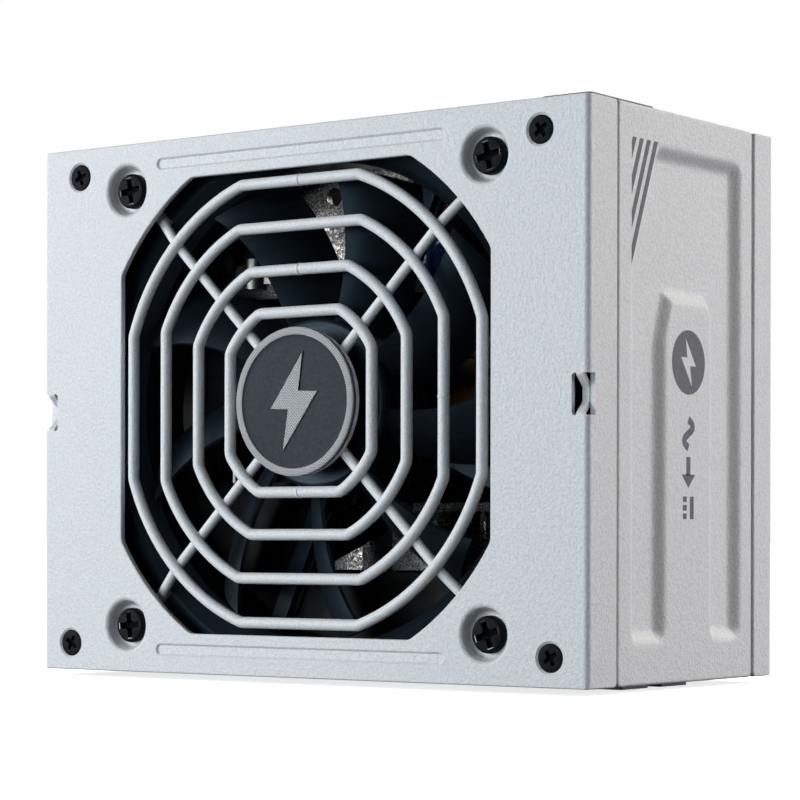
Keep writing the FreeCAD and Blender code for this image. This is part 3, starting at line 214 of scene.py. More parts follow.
def galvanised(name, shade_from, shade_to):
    """Zinc-coated sheet: a fine sparkle of small crystals, with painted shade in near-black between two
    places along X.
    """
    tree = Tree(name)
    crystals = tree.cells(3600.0, output="Color")
    split = tree.nodes.new("ShaderNodeSeparateColor")
    tree.links.new(crystals, split.inputs["Color"])
    tone = split.outputs["Red"]
    dark = (0.10, 0.10, 0.10)
    light = (0.80, 0.76, 0.70)
    sparkle = tree.colours(tone, (0.05, dark), (0.6, (0.36, 0.35, 0.33)), (0.95, light))
    across = tree.nodes.new("ShaderNodeSeparateXYZ")
    tree.links.new(tree.coords, across.inputs["Vector"])
    # Painted shade: between the two given places the sheet is near-black and not metallic.
    before = tree.ramp(across.outputs["X"], 1.0, 0.0, shade_from - 0.2 * MM, shade_from)
    after = tree.ramp(across.outputs["X"], 0.0, 1.0, shade_to, shade_to + 0.2 * MM)
    outside_shade = tree.add(before, after, 1.0)
    black = tree.colours(tone, (0.0, grey(0.006, 0.2)), (1.0, grey(0.014, 0.2)))
    tree.feed("Metallic", tree.ramp(outside_shade, 0.0, 0.8))
    tree.feed("Base_Color", tree.mix(black, sparkle, outside_shade))
    tree.feed("Roughness", tree.ramp(tone, 0.6, 0.25))
    tree.bump(tree.add(tone, split.outputs["Green"], 0.6), 0.5, 0.00008)
    return tree.material


def copper_wire(name, low, high, metallic):
    """Enamelled wire with a clear coat."""
    tree = Tree(name)
    slow = tree.noise(220.0, 2.0)
    tree.feed("Base_Color", tree.colours(slow, (0.3, low), (0.7, high)))
    tree.feed("Roughness", tree.ramp(slow, 0.26, 0.42))
    tree.set(Metallic=metallic, Coat_Weight=0.3)
    tree.bump(tree.noise(3000.0), 0.15, 0.00002)
    return tree.material


def ferrite():
    """Sintered ferrite: matt charcoal with pits."""
    tree = Tree("sintered_ferrite")
    pits = tree.cells(1500.0)
    tree.feed("Base_Color", tree.colours(tree.noise(300.0, 4.0), (0.3, grey(0.018)), (0.7, grey(0.045))))
    tree.feed("Roughness", tree.ramp(pits, 0.75, 0.5))
    tree.bump(pits, 0.3, 0.00005)
    return tree.material


def polyester_tape():
    """Yellow-orange transformer tape in overlapping layers."""
    tree = Tree("polyester_tape")
    layers = tree.wave(110.0, "Y", 1.5)
    tree.feed("Base_Color", tree.colours(layers, (0.2, (0.12, 0.040, 0.004)), (0.8, (0.18, 0.070, 0.007))))
    tree.feed("Roughness", tree.ramp(tree.noise(500.0), 0.2, 0.42))
    tree.set(Coat_Weight=0.3)
    tree.bump(tree.add(layers, tree.noise(900.0), 0.3), 0.3, 0.00008)
    return tree.material


def circuit_board():
    """Solder mask over copper tracks."""
    tree = Tree("circuit_board")
    tracks = tree.cells(260.0, "DISTANCE_TO_EDGE")
    mask = tree.colours(tracks, (0.04, (0.010, 0.020, 0.014)), (0.10, (0.004, 0.008, 0.006)))
    tree.feed("Base_Color", mask)
    tree.feed("Roughness", tree.ramp(tree.noise(700.0), 0.25, 0.42))
    tree.set(Coat_Weight=0.4)
    tree.bump(tracks, 0.2, 0.00003)
    return tree.material


def insulated_wire(name, low, high):
    """Soft vinyl insulation with a faint drag texture."""
    tree = Tree(name)
    fine = tree.noise(900.0, 3.0)
    tree.feed("Base_Color", tree.colours(tree.noise(90.0), (0.3, low), (0.7, high)))
    tree.feed("Roughness", tree.ramp(fine, 0.38, 0.55))
    tree.bump(fine, 0.25, 0.00004)
    return tree.material


def knurled_metal(name, low, high):
    """Finely knurled badge metal: two crossing sets of ridges."""
    tree = Tree(name)
    first = tree.wave(1050.0, "DIAGONAL")
    second = tree.wave(1050.0, "Z")
    height = tree.add(first, second, 0.8)
    tree.feed("Base_Color", tree.colours(height, (0.35, low), (1.1 / 1.8, high)))
    tree.feed("Roughness", tree.ramp(tree.noise(900.0), 0.42, 0.6))
    tree.set(Metallic=0.25, Specular_IOR_Level=0.35)
    tree.bump(height, 0.6, 0.00006)
    return tree.material


def printed_ink():
    """Screen-printed ink that keeps some of the paint's grain."""
    tree = Tree("printed_ink")
    fine = tree.noise(1900.0, 3.0, 0.6)
    tree.feed("Base_Color", tree.colours(fine, (0.3, grey(0.036, 0.06)), (0.7, grey(0.058, 0.06))))
    tree.feed("Roughness", tree.ramp(fine, 0.6, 0.42, 0.3, 0.7))
    tree.bump(fine, 0.5, 0.00008)
    return tree.material


WHITE = powder_coat("white_powder_coat", 0.785, 2300.0, 0.00015)
GUARD_WHITE = powder_coat("guard_powder_coat", 0.83, 2700.0, 0.00011)
BLACK_STEEL = metal("black_oxide_steel", grey(0.004, 0.3), grey(0.008, 0.3), (0.42, 0.56), metallic=0.0,
                    shine=0.05)
# Painted glint: brighter metal for the thin lip round each screw's recess.
GLINT_EDGE = metal("painted_glint_edge", grey(0.20, 0.1), grey(0.36, 0.08), (0.28, 0.42))
# Painted shade: near-black for the walls and floor of each screw's recess.
RECESS_SHADOW = metal("recess_shadow", grey(0.0015, 0.3), grey(0.003, 0.3), (0.6, 0.75), metallic=0.0,
                     shine=0.03)
FAN_PLASTIC = moulded_plastic("fan_plastic", (0.005, 0.009, 0.014), (0.007, 0.012, 0.018), (0.38, 0.52),
                              depth=0.00004, shine=0.30, tint=(0.6, 0.85, 1.0, 1))
BLACK_PLASTIC = moulded_plastic("black_plastic", grey(0.010), grey(0.018), (0.4, 0.58), 1800.0)
ROCKER_PLASTIC = moulded_plastic("rocker_plastic", grey(0.012), grey(0.02), (0.28, 0.4), 3000.0)
NYLON = moulded_plastic("white_nylon", (0.62, 0.60, 0.54), (0.70, 0.68, 0.62), (0.4, 0.55))
PACKAGE = moulded_plastic("component_package", grey(0.012), grey(0.022), (0.45, 0.65), 3200.0)
FILM = moulded_plastic("insulating_film", grey(0.005, 0.1), grey(0.008, 0.1), (0.5, 0.6), 400.0,
                       depth=0.00006, shine=0.15)
BOXED = moulded_plastic("boxed_capacitor", grey(0.005), grey(0.008), (0.4, 0.55), 1400.0, shine=0.1)
DISC_CAPACITOR = moulded_plastic("disc_capacitor", (0.004, 0.035, 0.15), (0.006, 0.055, 0.21), (0.18, 0.32),
                                 900.0)
SLEEVE = moulded_plastic("capacitor_sleeve", grey(0.006, 0.2), grey(0.009, 0.2), (0.3, 0.42), 1200.0)
MAGNET = moulded_plastic("bonded_ferrite", grey(0.02), grey(0.035), (0.6, 0.75), 1500.0)
STEEL = metal("bright_steel", grey(0.42), grey(0.56), (0.25, 0.42), (1, 1, 8))
TINNED = metal("tinned_contacts", (0.50, 0.49, 0.46), (0.64, 0.63, 0.60), (0.28, 0.42))
NICKEL = metal("nickel_plate", (0.22, 0.21, 0.19), (0.32, 0.30, 0.27), (0.3, 0.42))
BRASS = metal("turned_brass", (0.56, 0.39, 0.15), (0.70, 0.52, 0.24), (0.22, 0.36), (1, 8, 1))
CAN = metal("capacitor_can", grey(0.45), grey(0.58), (0.28, 0.4), (1, 6, 1))
# The two X places bound the near-black band of painted shade on each sheet.
GALVANISED = galvanised("galvanised_sheet", -2.6 * MM, 4.2 * MM)
FLANGE = galvanised("galvanised_flange", -80.0 * MM, -20.2 * MM)
COPPER = copper_wire("enamelled_copper", (0.30, 0.09, 0.03), (0.46, 0.16, 0.05), 0.8)
WRAPPED = copper_wire("wrapped_winding", grey(0.010), grey(0.018), 0.0)
FERRITE = ferrite()
TAPE = polyester_tape()
BOARD = circuit_board()
RED_WIRE = insulated_wire("red_wire", (0.30, 0.010, 0.010), (0.42, 0.016, 0.014))
BLACK_WIRE = insulated_wire("black_wire", grey(0.010), grey(0.016))
BROWN_WIRE = insulated_wire("brown_wire", (0.060, 0.024, 0.010), (0.085, 0.034, 0.014))
BLUE_WIRE = insulated_wire("blue_wire", (0.010, 0.035, 0.16), (0.014, 0.05, 0.22))
INK = printed_ink()
BADGE_DARK = moulded_plastic("badge_field", grey(0.026, 0.3), grey(0.036, 0.3), (0.55, 0.68), 1500.0,
                             shine=0.2)
BADGE_LIGHT = knurled_metal("badge_relief", grey(0.17, 0.02), grey(0.36, 0.02))
MARK_WHITE = moulded_plastic("white_marking", grey(0.55), grey(0.66), (0.4, 0.55), 1500.0)

BY_SLOT = {
    "white_paint": WHITE, "black_screw": BLACK_STEEL, "badge": BADGE_DARK, "fan_plastic": FAN_PLASTIC,
    "fan_steel": STEEL, "magnet": MAGNET, "brass": BRASS, "copper": COPPER, "circuit_board": BOARD,
    "wire": BLACK_WIRE, "white_nylon": NYLON, "black_plastic": BLACK_PLASTIC, "tinned": TINNED, "film": FILM,
    "capacitor_sleeve": SLEEVE, "ferrite": FERRITE, "tape": TAPE, "heatsink": GALVANISED,
    "component_black": PACKAGE, "capacitor_can": CAN, "film_capacitor": BOXED,
    "disc_capacitor": DISC_CAPACITOR,
}
BY_NODE = {
    "fan_guard": GUARD_WHITE, "primary_heatsink": FLANGE, "power_rocker": ROCKER_PLASTIC,
    "heatsink_clip": NICKEL, "busbars": TINNED,
}
for part in frame["record"]["subparts"]:
    node = frame["nodes"][part["node"]]
    node.data.materials.clear()
    node.data.materials.append(BY_NODE.get(part["node"], BY_SLOT[part["material_slot"]]))


def paint_where(name, material, chosen):
    """Give the faces of one node whose middle passes the test a second material."""
    node = frame["nodes"][name]
    node.data.materials.append(material)
    for face in node.data.polygons:
        if chosen(node.matrix_world @ face.center):
            face.material_index = len(node.data.materials) - 1


def islands(node):
    """Number of the connected body that each face belongs to, counted from zero."""
    places = {}
    owner = []
    for vertex in node.data.vertices:
        key = tuple(round(c, 7) for c in vertex.co)
        owner.append(places.setdefault(key, len(places)))
    parent = list(range(len(places)))

    def root(i):
        while parent[i] != i:
            parent[i] = parent[parent[i]]
            i = parent[i]
        return i

    for face in node.data.polygons:
        first = root(owner[face.vertices[0]])
        for vertex in face.vertices[1:]:
            parent[root(owner[vertex])] = first
    roots = [root(owner[face.vertices[0]]) for face in node.data.polygons]
    order = {r: i for i, r in enumerate(dict.fromkeys(roots))}
    return [order[r] for r in roots]


def paint_islands(name, *materials):
    """Give each connected body of one node its own material, in turn."""
    node = frame["nodes"][name]
    node.data.materials.clear()
    for material in materials:
        node.data.materials.append(material)
    for face, island in zip(node.data.polygons, islands(node)):
        face.material_index = island % len(materials)


paint_where("choke_windings", WRAPPED, lambda middle: middle.x < 0)
paint_islands("fan_lead", RED_WIRE, BLACK_WIRE)
paint_islands("mains_wires", BROWN_WIRE, BLUE_WIRE)


# ---------------------------------------------------------------- pieces built here

def piece(name, mesh, body, *materials, sharp=35.0):
    """Object made from a bmesh, smooth except at sharp edges, fixed to its body."""
    bmesh.ops.recalc_face_normals(mesh, faces=mesh.faces)
    for face in mesh.faces:
        face.smooth = True
    for edge in mesh.edges:
        edge.smooth = edge.calc_face_angle(0.0) < math.radians(sharp)
    data = bpy.data.meshes.new(name)
    mesh.to_mesh(data)
    mesh.free()
    for material in materials:
        data.materials.append(material)
    obj = bpy.data.objects.new(name, data)
    bpy.context.scene.collection.objects.link(obj)
    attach(obj, body)
    return obj


BADGE_FRONT = -0.80
BADGE_FIELD = -0.55
BADGE_PROFILE = ((0, 0.40), (12.2, 0.40), (12.2, -0.30), (13.36, -0.30), (13.46, -0.34), (13.5, -0.42),
                 (13.5, -0.68), (13.46, -0.76), (13.36, BADGE_FRONT), (12.24, BADGE_FRONT), (12.14, -0.77),
                 (12.09, -0.70), (12.05, -0.62), (11.9, -0.56), (11.0, BADGE_FIELD), (0, BADGE_FIELD))
RIM_INSIDE = 11.98
RIM_REAR = -0.32
BOLT = ((1.6, 7.0), (-4.2, -1.0), (-0.9, -1.0), (-2.0, -7.0), (4.2, 1.4), (0.7, 1.4))
BADGE_BOLT_SCALE = 1.3
BADGE_BOLT_SINK = 0.05
BADGE_BOLT_EDGE = 0.09
BADGE_SEGMENTS = 160


def lathe(mesh, profile, segments):
    """Closed body turned about the fan's axis, from (radius, depth) pairs that start and end on the axis."""
    first = mesh.verts.new(spot(0, profile[0][1], FAN_HEIGHT))
    last = mesh.verts.new(spot(0, profile[-1][1], FAN_HEIGHT))
    columns = []
    for k in range(segments):
        turn = 2 * math.pi * k / segments
        columns.append([mesh.verts.new(spot(r * math.cos(turn), depth, FAN_HEIGHT + r * math.sin(turn)))
                        for r, depth in profile[1:-1]])
    for k, here in enumerate(columns):
        beside = columns[k - 1]
        mesh.faces.new((first, here[0], beside[0]))
        mesh.faces.new((last, beside[-1], here[-1]))
        for i in range(len(here) - 1):
            mesh.faces.new((here[i], here[i + 1], beside[i + 1], beside[i]))


def badge():
    """Round badge: light knurled rim and bolt standing on a darker satin field."""
    mesh = bmesh.new()
    lathe(mesh, BADGE_PROFILE, BADGE_SEGMENTS)
    axis = spot(0, 0, FAN_HEIGHT)
    for face in mesh.faces:
        middle = face.calc_center_median()
        distance = math.hypot(middle.x - axis.x, middle.z - axis.z) / MM
        face.material_index = 1 if distance > RIM_INSIDE and middle.y < spot(0, RIM_REAR, 0).y else 0
    bolt = [(BADGE_BOLT_SCALE * x, FAN_HEIGHT + BADGE_BOLT_SCALE * z) for x, z in BOLT]
    front = [mesh.verts.new(spot(x, BADGE_FRONT, z)) for x, z in bolt]
    back = [mesh.verts.new(spot(x, BADGE_FIELD + BADGE_BOLT_SINK, z)) for x, z in bolt]
    top = mesh.faces.new(front)
    sides = [mesh.faces.new((front[i], front[i - 1], back[i - 1], back[i])) for i in range(len(front))]
    bottom = mesh.faces.new(list(reversed(back)))
    for face in (top, bottom, *sides):
        face.material_index = 1
    bmesh.ops.bevel(mesh, geom=list(top.edges), offset=BADGE_BOLT_EDGE * MM, segments=3, affect="EDGES",
                    material=1)
    obj = piece("badge_relief", mesh, CASE, BADGE_DARK, BADGE_LIGHT)
    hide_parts("fan_badge")


WELDS = ((0, 40.2, "x"), (0, 24.05, "x"), (0, -16.35, "x"), (32.05, 0, "z"))
WIRE_R = 1.05
RING_DEPTH = 1.0
WELD_HEIGHT = 0.10
WELD_HALF_WIDTH = 0.24


def weld_marks():
    """Raised lines round the guard's wires where the ends of each ring were butt-welded."""
    mesh = bmesh.new()
    around = 40
    across = 10
    for x, z, axis in WELDS:
        grid = []
        for i in range(around):
            turn = 2 * math.pi * i / around
            row = []
            for j in range(across):
                lean = 2 * math.pi * j / across
                swell = 1 + 0.25 * SEEDED.uniform(-1, 1)
                radius = WIRE_R + WELD_HEIGHT * swell * math.cos(lean)
                along = WELD_HALF_WIDTH * math.sin(lean)
                outward = radius * math.cos(turn)
                depth = RING_DEPTH + radius * math.sin(turn)
                if axis == "x":
                    row.append(mesh.verts.new(spot(x + along, depth, FAN_HEIGHT + z + outward)))
                else:
                    row.append(mesh.verts.new(spot(x + outward, depth, FAN_HEIGHT + z + along)))
            grid.append(row)
        for i in range(around):
            for j in range(across):
                mesh.faces.new((grid[i][j], grid[i - 1][j], grid[i - 1][j - 1], grid[i][j - 1]))
    obj = piece("guard_weld_marks", mesh, CASE, GUARD_WHITE, sharp=80.0)


# ---------------------------------------------------------------- screws

# Rings are (radius, depth); a cross is (half its span, half an arm's width, corner radius), then its depth.
FAN_SCREW_RINGS = ((2.86, 0.0), (3.02, 0.05), (3.16, 0.16), (3.26, 0.36), (3.3, 0.7), (3.3, 1.5), (1.9, 1.5),
                   (1.9, 11.2), (0.8, 12.0))
FAN_SCREW_TURNS = (9, 12, 5, 19)
FAN_SCREW_CROSS = (2.5, 0.58, 0.7)
FAN_SCREW_DRIVE = 1.0
COVER_SCREW_RINGS = ((2.3, 0.0), (2.42, 0.04), (2.5, 0.14), (2.5, 0.22), (1.55, 0.86), (1.2, 0.88),
                     (1.2, 5.5), (0.7, 6.0))
COVER_SCREW_TURNS = (20, 38, 61, 33)
COVER_SCREW_CROSS = (1.5, 0.40, 0.4)
COVER_SCREW_DRIVE = 0.6
LIP_SCALE = 0.95
LIP_DEPTH = 0.1
RECESS_TAPER = 0.74
SCREW_SEGMENTS = 64
ROW_HEIGHT = 20.0


def body_boxes(name):
    """Low and high corners of each connected body of one node, from the top left to the bottom right."""
    node = frame["nodes"][name]
    points = {}
    for face, island in zip(node.data.polygons, islands(node)):
        for index in face.vertices:
            points.setdefault(island, []).append(node.matrix_world @ node.data.vertices[index].co)
    found = []
    for group in points.values():
        low = Vector([min(p[k] for p in group) for k in range(3)])
        high = Vector([max(p[k] for p in group) for k in range(3)])
        found.append((low, high))
    return sorted(found, key=lambda pair: (-round(pair[0].z / MM / ROW_HEIGHT), pair[0].x))


def driver_cross(half, arm, soft, turn):
    """Outline of a cross-shaped driver recess with hollow inner corners, turned by an angle in degrees."""
    outline = []
    for quarter in range(4):
        lean = math.radians(90 * quarter + turn)
        corner = [(half, -arm), (half, arm)]
        for step in range(6):
            bend = math.radians(270 - 18 * step)
            corner.append((arm + soft + soft * math.cos(bend), arm + soft + soft * math.sin(bend)))
        for x, z in corner:
            outline.append((x * math.cos(lean) - z * math.sin(lean),
                            x * math.sin(lean) + z * math.cos(lean)))
    return outline


def screw(mesh, box, rings, outline, depth):
    """One closed screw: turned head and shank, and a recess whose lip has brighter metal as a painted glint
    and whose walls are near-black as painted shade.
    """
    low, high = box
    middle = (low + high) / 2

    def loop(points, level):
        y = low.y + level * MM
        return [mesh.verts.new((middle.x + x * MM, y, middle.z + z * MM)) for x, z in points]

    def strip(first, second, slot):
        for i in range(len(first)):
            mesh.faces.new((first[i], first[i - 1], second[i - 1], second[i])).material_index = slot

    rounds = [loop(circle(0, 0, radius, SCREW_SEGMENTS)[:-1], level) for radius, level in rings]
    for first, second in zip(rounds, rounds[1:]):
        strip(first, second, 0)
    mesh.faces.new(rounds[-1])
    mouth = loop(outline, 0.0)
    lip = loop([(LIP_SCALE * x, LIP_SCALE * z) for x, z in outline], LIP_DEPTH)
    bottom = loop([(RECESS_TAPER * x, RECESS_TAPER * z) for x, z in outline], depth)
    # The lip gets the painted glint; the recess walls and floor get the painted shade.
    strip(mouth, lip, 1)
    strip(lip, bottom, 2)
    mesh.faces.new(bottom).material_index = 2
    edges = []
    for ring in (rounds[0], mouth):
        edges += [mesh.edges.get((ring[i], ring[i - 1])) for i in range(len(ring))]
    bmesh.ops.triangle_fill(mesh, use_beauty=True, edges=edges)


def screws(name, rings, turns, cross, depth):
    """The four screws of one node, each turned as far as it happened to be driven."""
    mesh = bmesh.new()
    for box, turn in zip(body_boxes(name), turns):
        screw(mesh, box, rings, driver_cross(*cross, turn), depth)
    obj = piece(name + "_set", mesh, CASE, BLACK_STEEL, GLINT_EDGE, RECESS_SHADOW, sharp=40.0)
    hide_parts(name)


# ---------------------------------------------------------------- side panels

PANEL_LOW, PANEL_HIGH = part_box("side_panel_right")
PANEL_FRONT = (PANEL_LOW.y - FACE_Y) / MM
PANEL_REAR = (PANEL_HIGH.y - FACE_Y) / MM
PANEL_TOP = (PANEL_HIGH.z - CASE_Z) / MM
# The stamping's flat floor is an outline of (depth, height); a slope leads up from it all round.
STAMP_FLOOR = ((16.0, 9.4), (16.0, 71.6), (23.8, 91.35), (49.3, 91.35), (49.3, 9.4), (42.9, 9.4),
               (42.9, 65.6), (40.3, 69.0), (25.7, 69.0), (22.9, 60.2), (22.9, 9.4))
STAMP_DEPTH = 1.5
STAMP_FOOT = 0.35
STAMP_SLOPE = 1.7
STAMP_SOFT = 0.42
BLUR_REACH = 5
SHEET = 1.0
RIM_R = 0.45
CORNER_R = 0.8
GRID = 0.4


def inside_polygon(point, corners):
    """True when the point lies inside the closed outline."""
    found = False
    for i, (x1, y1) in enumerate(corners):
        x0, y0 = corners[i - 1]
        if (y0 > point[1]) != (y1 > point[1]):
            if point[0] < x0 + (point[1] - y0) * (x1 - x0) / (y1 - y0):
                found = not found
    return found


def distance_to(point, corners):
    """Shortest distance from a point to the closed outline."""
    best = math.inf
    for i, (x1, y1) in enumerate(corners):
        x0, y0 = corners[i - 1]
        run = (x1 - x0) ** 2 + (y1 - y0) ** 2
        t = ((point[0] - x0) * (x1 - x0) + (point[1] - y0) * (y1 - y0)) / run
        t = min(max(t, 0.0), 1.0)
        best = min(best, math.hypot(point[0] - x0 - t * (x1 - x0), point[1] - y0 - t * (y1 - y0)))
    return best


def graded(low, high):
    """Grid places along one side: close together over the rounded rim, even between."""
    rim = (0.0, 0.03, 0.1, 0.2, 0.32, 0.45, 0.6)
    count = round((high - low - 2 * rim[-1]) / GRID)
    step = (high - low - 2 * rim[-1]) / count
    even = [low + rim[-1] + k * step for k in range(1, count)]
    return [low + r for r in rim] + even + [high - r for r in reversed(rim)]


def blurred(values, places, soft):
    """Values smoothed along one line of the grid with a bell-shaped weight."""
    result = []
    for i, place in enumerate(places):
        total = 0.0
        weight = 0.0
        for j in range(max(i - BLUR_REACH, 0), min(i + BLUR_REACH + 1, len(places))):
            w = math.exp(-0.5 * ((places[j] - place) / soft) ** 2)
            total += w * values[j]
            weight += w
        result.append(total / weight)
    return result


def stamp_depths(ys, zs):
    """How deep the stamping is at every grid point, with soft edges and rounded corners."""
    rows = []
    for z in zs:
        row = []
        for y in ys:
            reach = 0.0 if inside_polygon((y, z), STAMP_FLOOR) else distance_to((y, z), STAMP_FLOOR)
            fall = (STAMP_FOOT + STAMP_SLOPE - reach) / STAMP_SLOPE
            row.append(STAMP_DEPTH * min(max(fall, 0.0), 1.0))
        rows.append(blurred(row, ys, STAMP_SOFT))
    columns = [blurred([row[i] for row in rows], zs, STAMP_SOFT) for i in range(len(ys))]
    return [[columns[i][k] for i in range(len(ys))] for k in range(len(zs))]


def rounded(y, z):
    """Grid point moved so that the sheet's four corners are round."""
    cy = min(max(y, PANEL_FRONT + CORNER_R), PANEL_REAR - CORNER_R)
    cz = min(max(z, CORNER_R), PANEL_TOP - CORNER_R)
    du = y - cy
    dv = z - cz
    if du == 0 or dv == 0:
        return y, z
    pull = max(abs(du), abs(dv)) / math.hypot(du, dv)
    return cy + du * pull, cz + dv * pull


def side_panel(side, node, depths, ys, zs):
    """Stamped side panel as one closed sheet; side is 1 for the right panel and -1 for the left."""
    mesh = bmesh.new()
    front = []
    back = []
    for z, row in zip(zs, depths):
        outer = []
        inner = []
        for y, depth in zip(ys, row):
            border = min(y - PANEL_FRONT, PANEL_REAR - y, z, PANEL_TOP - z)
            drop = 0.0
            if border < RIM_R:
                drop = RIM_R - math.sqrt(max(RIM_R ** 2 - (RIM_R - border) ** 2, 0.0))
            py, pz = rounded(y, z)
            outer.append(mesh.verts.new(spot(side * (HALF_W - depth - drop), py, pz)))
            inner.append(mesh.verts.new(spot(side * (HALF_W - depth - SHEET), py, pz)))
        front.append(outer)
        back.append(inner)
    last = len(ys) - 1
    for k in range(1, len(zs)):
        for i in range(1, len(ys)):
            for sheet in (front, back):
                mesh.faces.new((sheet[k][i], sheet[k - 1][i], sheet[k - 1][i - 1], sheet[k][i - 1]))
        for i in (0, last):
            mesh.faces.new((front[k][i], front[k - 1][i], back[k - 1][i], back[k][i]))
    for k in (0, len(zs) - 1):
        for i in range(1, len(ys)):
            mesh.faces.new((front[k][i], front[k][i - 1], back[k][i - 1], back[k][i]))
    obj = piece(node + "_sheet", mesh, CASE, WHITE, sharp=50.0)
    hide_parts(node)
    return obj


def side_panels():
    """Both side panels, in the order right, left."""
    ys = graded(PANEL_FRONT, PANEL_REAR)
    zs = graded(0.0, PANEL_TOP)
    depths = stamp_depths(ys, zs)
    sides = ((1, "side_panel_right"), (-1, "side_panel_left"))
    return [side_panel(side, node, depths, ys, zs) for side, node in sides]


# ---------------------------------------------------------------- printed marks

def surface(node):
    """Search tree of one object's faces, in the scene's coordinates."""
    points = [node.matrix_world @ v.co for v in node.data.vertices]
    return BVHTree.FromPolygons(points, [tuple(f.vertices) for f in node.data.polygons])


def stroke(points, width):
    """Outline of a line of constant width along the points."""
    left = []
    right = []
    for i, (x, y) in enumerate(points):
        before = points[max(i - 1, 0)]
        after = points[min(i + 1, len(points) - 1)]
        run = math.hypot(after[0] - before[0], after[1] - before[1])
        nx = -(after[1] - before[1]) / run * width / 2
        ny = (after[0] - before[0]) / run * width / 2
        left.append((x + nx, y + ny))
        right.append((x - nx, y - ny))
    return left + right[::-1]


def circle(x, y, radius, count, start=0.0, end=360.0):
    """Points on an arc, both ends included."""
    turns = [math.radians(start + (end - start) * k / count) for k in range(count + 1)]
    return [(x + radius * math.cos(t), y + radius * math.sin(t)) for t in turns]


def ring_halves(x, y, outer, inner):
    """A flat ring as two half rings that meet."""
    return [circle(x, y, outer, 36, a, a + 180) + circle(x, y, inner, 36, a + 180, a) for a in (0, 180)]


def print_on(name, outlines, node, body, material, start, direction):
    """Thin closed layers of ink that follow a node's surface under flat outlines.

    start turns an outline's two numbers into the point a ray leaves from, in the given direction.
    """
    mesh = bmesh.new()
    for outline in outlines:
        mesh.faces.new([mesh.verts.new((u, v, 0)) for u, v in outline])
    bmesh.ops.remove_doubles(mesh, verts=mesh.verts, dist=0.001)
    bmesh.ops.triangulate(mesh, faces=mesh.faces)
    for axis in (0, 1):
        low = min(v.co[axis] for v in mesh.verts)
        high = max(v.co[axis] for v in mesh.verts)
        normal = (1, 0, 0) if axis == 0 else (0, 1, 0)
        for k in range(1, math.ceil((high - low) / INK_STEP)):
            level = [0, 0, 0]
            level[axis] = low + k * INK_STEP
            everything = [*mesh.verts, *mesh.edges, *mesh.faces]
            bmesh.ops.bisect_plane(mesh, geom=everything, plane_co=level, plane_no=normal, dist=0.0001)
    under = surface(node)
    for vertex in mesh.verts:
        hit = under.ray_cast(start(vertex.co.x, vertex.co.y), direction)[0]
        vertex.co = hit - direction * INK_LIFT
    bmesh.ops.recalc_face_normals(mesh, faces=mesh.faces)
    facing = sum((f.normal * f.calc_area() for f in mesh.faces), Vector())
    if facing.dot(direction) > 0:
        bmesh.ops.reverse_faces(mesh, faces=mesh.faces)
    bmesh.ops.solidify(mesh, geom=mesh.faces, thickness=INK_THICK)
    piece(name, mesh, body, material, sharp=60.0)


INK_LIFT = 0.018 * MM
INK_THICK = 0.03 * MM
INK_STEP = 0.4
STRIPE_TOP = 94.2
STRIPE_SLOPE = 2.547
STRIPE_PITCH = 2.35
STRIPE_FOOT = 13.6
STRIPE_RIGHT = 22.2
STRIPE_WIDTH = 1.25
STRIPES = 4
EMBLEM = (32.8, 56.5)
EMBLEM_R = 5.7
EMBLEM_BOLT_SCALE = 0.62
SYMBOL_TOP = 46.7
SYMBOL_MIDDLE = 3.8
SYMBOL_LINE = 1.4
OUTSIDE = 5.0


def stripes():
    """Four slanted stripes beside the top of the stamping, cut off along a vertical line."""
    found = []
    for k in range(STRIPES):
        right = STRIPE_RIGHT - STRIPE_PITCH * k
        left = right - STRIPE_WIDTH
        found.append([(right, STRIPE_TOP), (left, STRIPE_TOP),
                      (STRIPE_FOOT, STRIPE_TOP - (left - STRIPE_FOOT) * STRIPE_SLOPE),
                      (STRIPE_FOOT, STRIPE_TOP - (right - STRIPE_FOOT) * STRIPE_SLOPE)])
    return found


def emblem():
    """Filled disc with a bolt-shaped opening."""
    x, y = EMBLEM
    bolt = [(x - EMBLEM_BOLT_SCALE * px, y + EMBLEM_BOLT_SCALE * py) for px, py in BOLT]
    top = circle(x, y, EMBLEM_R, 36, 90, 270)
    rest = circle(x, y, EMBLEM_R, 36, -90, 90)
    first = top + [bolt[3], bolt[4], bolt[5], bolt[0]]
    second = rest + [bolt[0], bolt[1], bolt[2], bolt[3]]
    return [first, second]


def supply_symbols():
    """Alternating current, an arrow and direct current, read downwards; (along, up) in millimetres."""
    middle = SYMBOL_MIDDLE
    wave = [(0.3 + 0.25 * k, middle + 1.5 * math.sin(2 * math.pi * k / 20)) for k in range(21)]
    shaft = [(6.9, middle), (10.2, middle)]
    head = [(10.0, middle - 2.3), (12.4, middle), (10.0, middle + 2.3)]
    bar = [(13.9, middle + 1.2), (17.9, middle + 1.2)]
    dashes = [[(13.9 + 1.5 * k, middle - 1.2), (14.9 + 1.5 * k, middle - 1.2)] for k in range(3)]
    thin = SYMBOL_LINE - 0.1
    direct = [stroke(line, thin) for line in (bar, *dashes)]
    return [stroke(wave, SYMBOL_LINE), stroke(shaft, SYMBOL_LINE), head, *direct]


def side_print(side, panel):
    """The marks on one side panel; side is 1 for the right panel and -1 for the left."""
    middle = EMBLEM[0]
    marks = stripes() + emblem()
    for outline in supply_symbols():
        marks.append([(middle + side * (up - SYMBOL_MIDDLE), SYMBOL_TOP - along) for along, up in outline])
    print_on(f"side_print_{'right' if side > 0 else 'left'}", marks, panel, CASE, INK,
             lambda depth, height: spot(side * (HALF_W + OUTSIDE), depth, height), Vector((-side, 0, 0)))


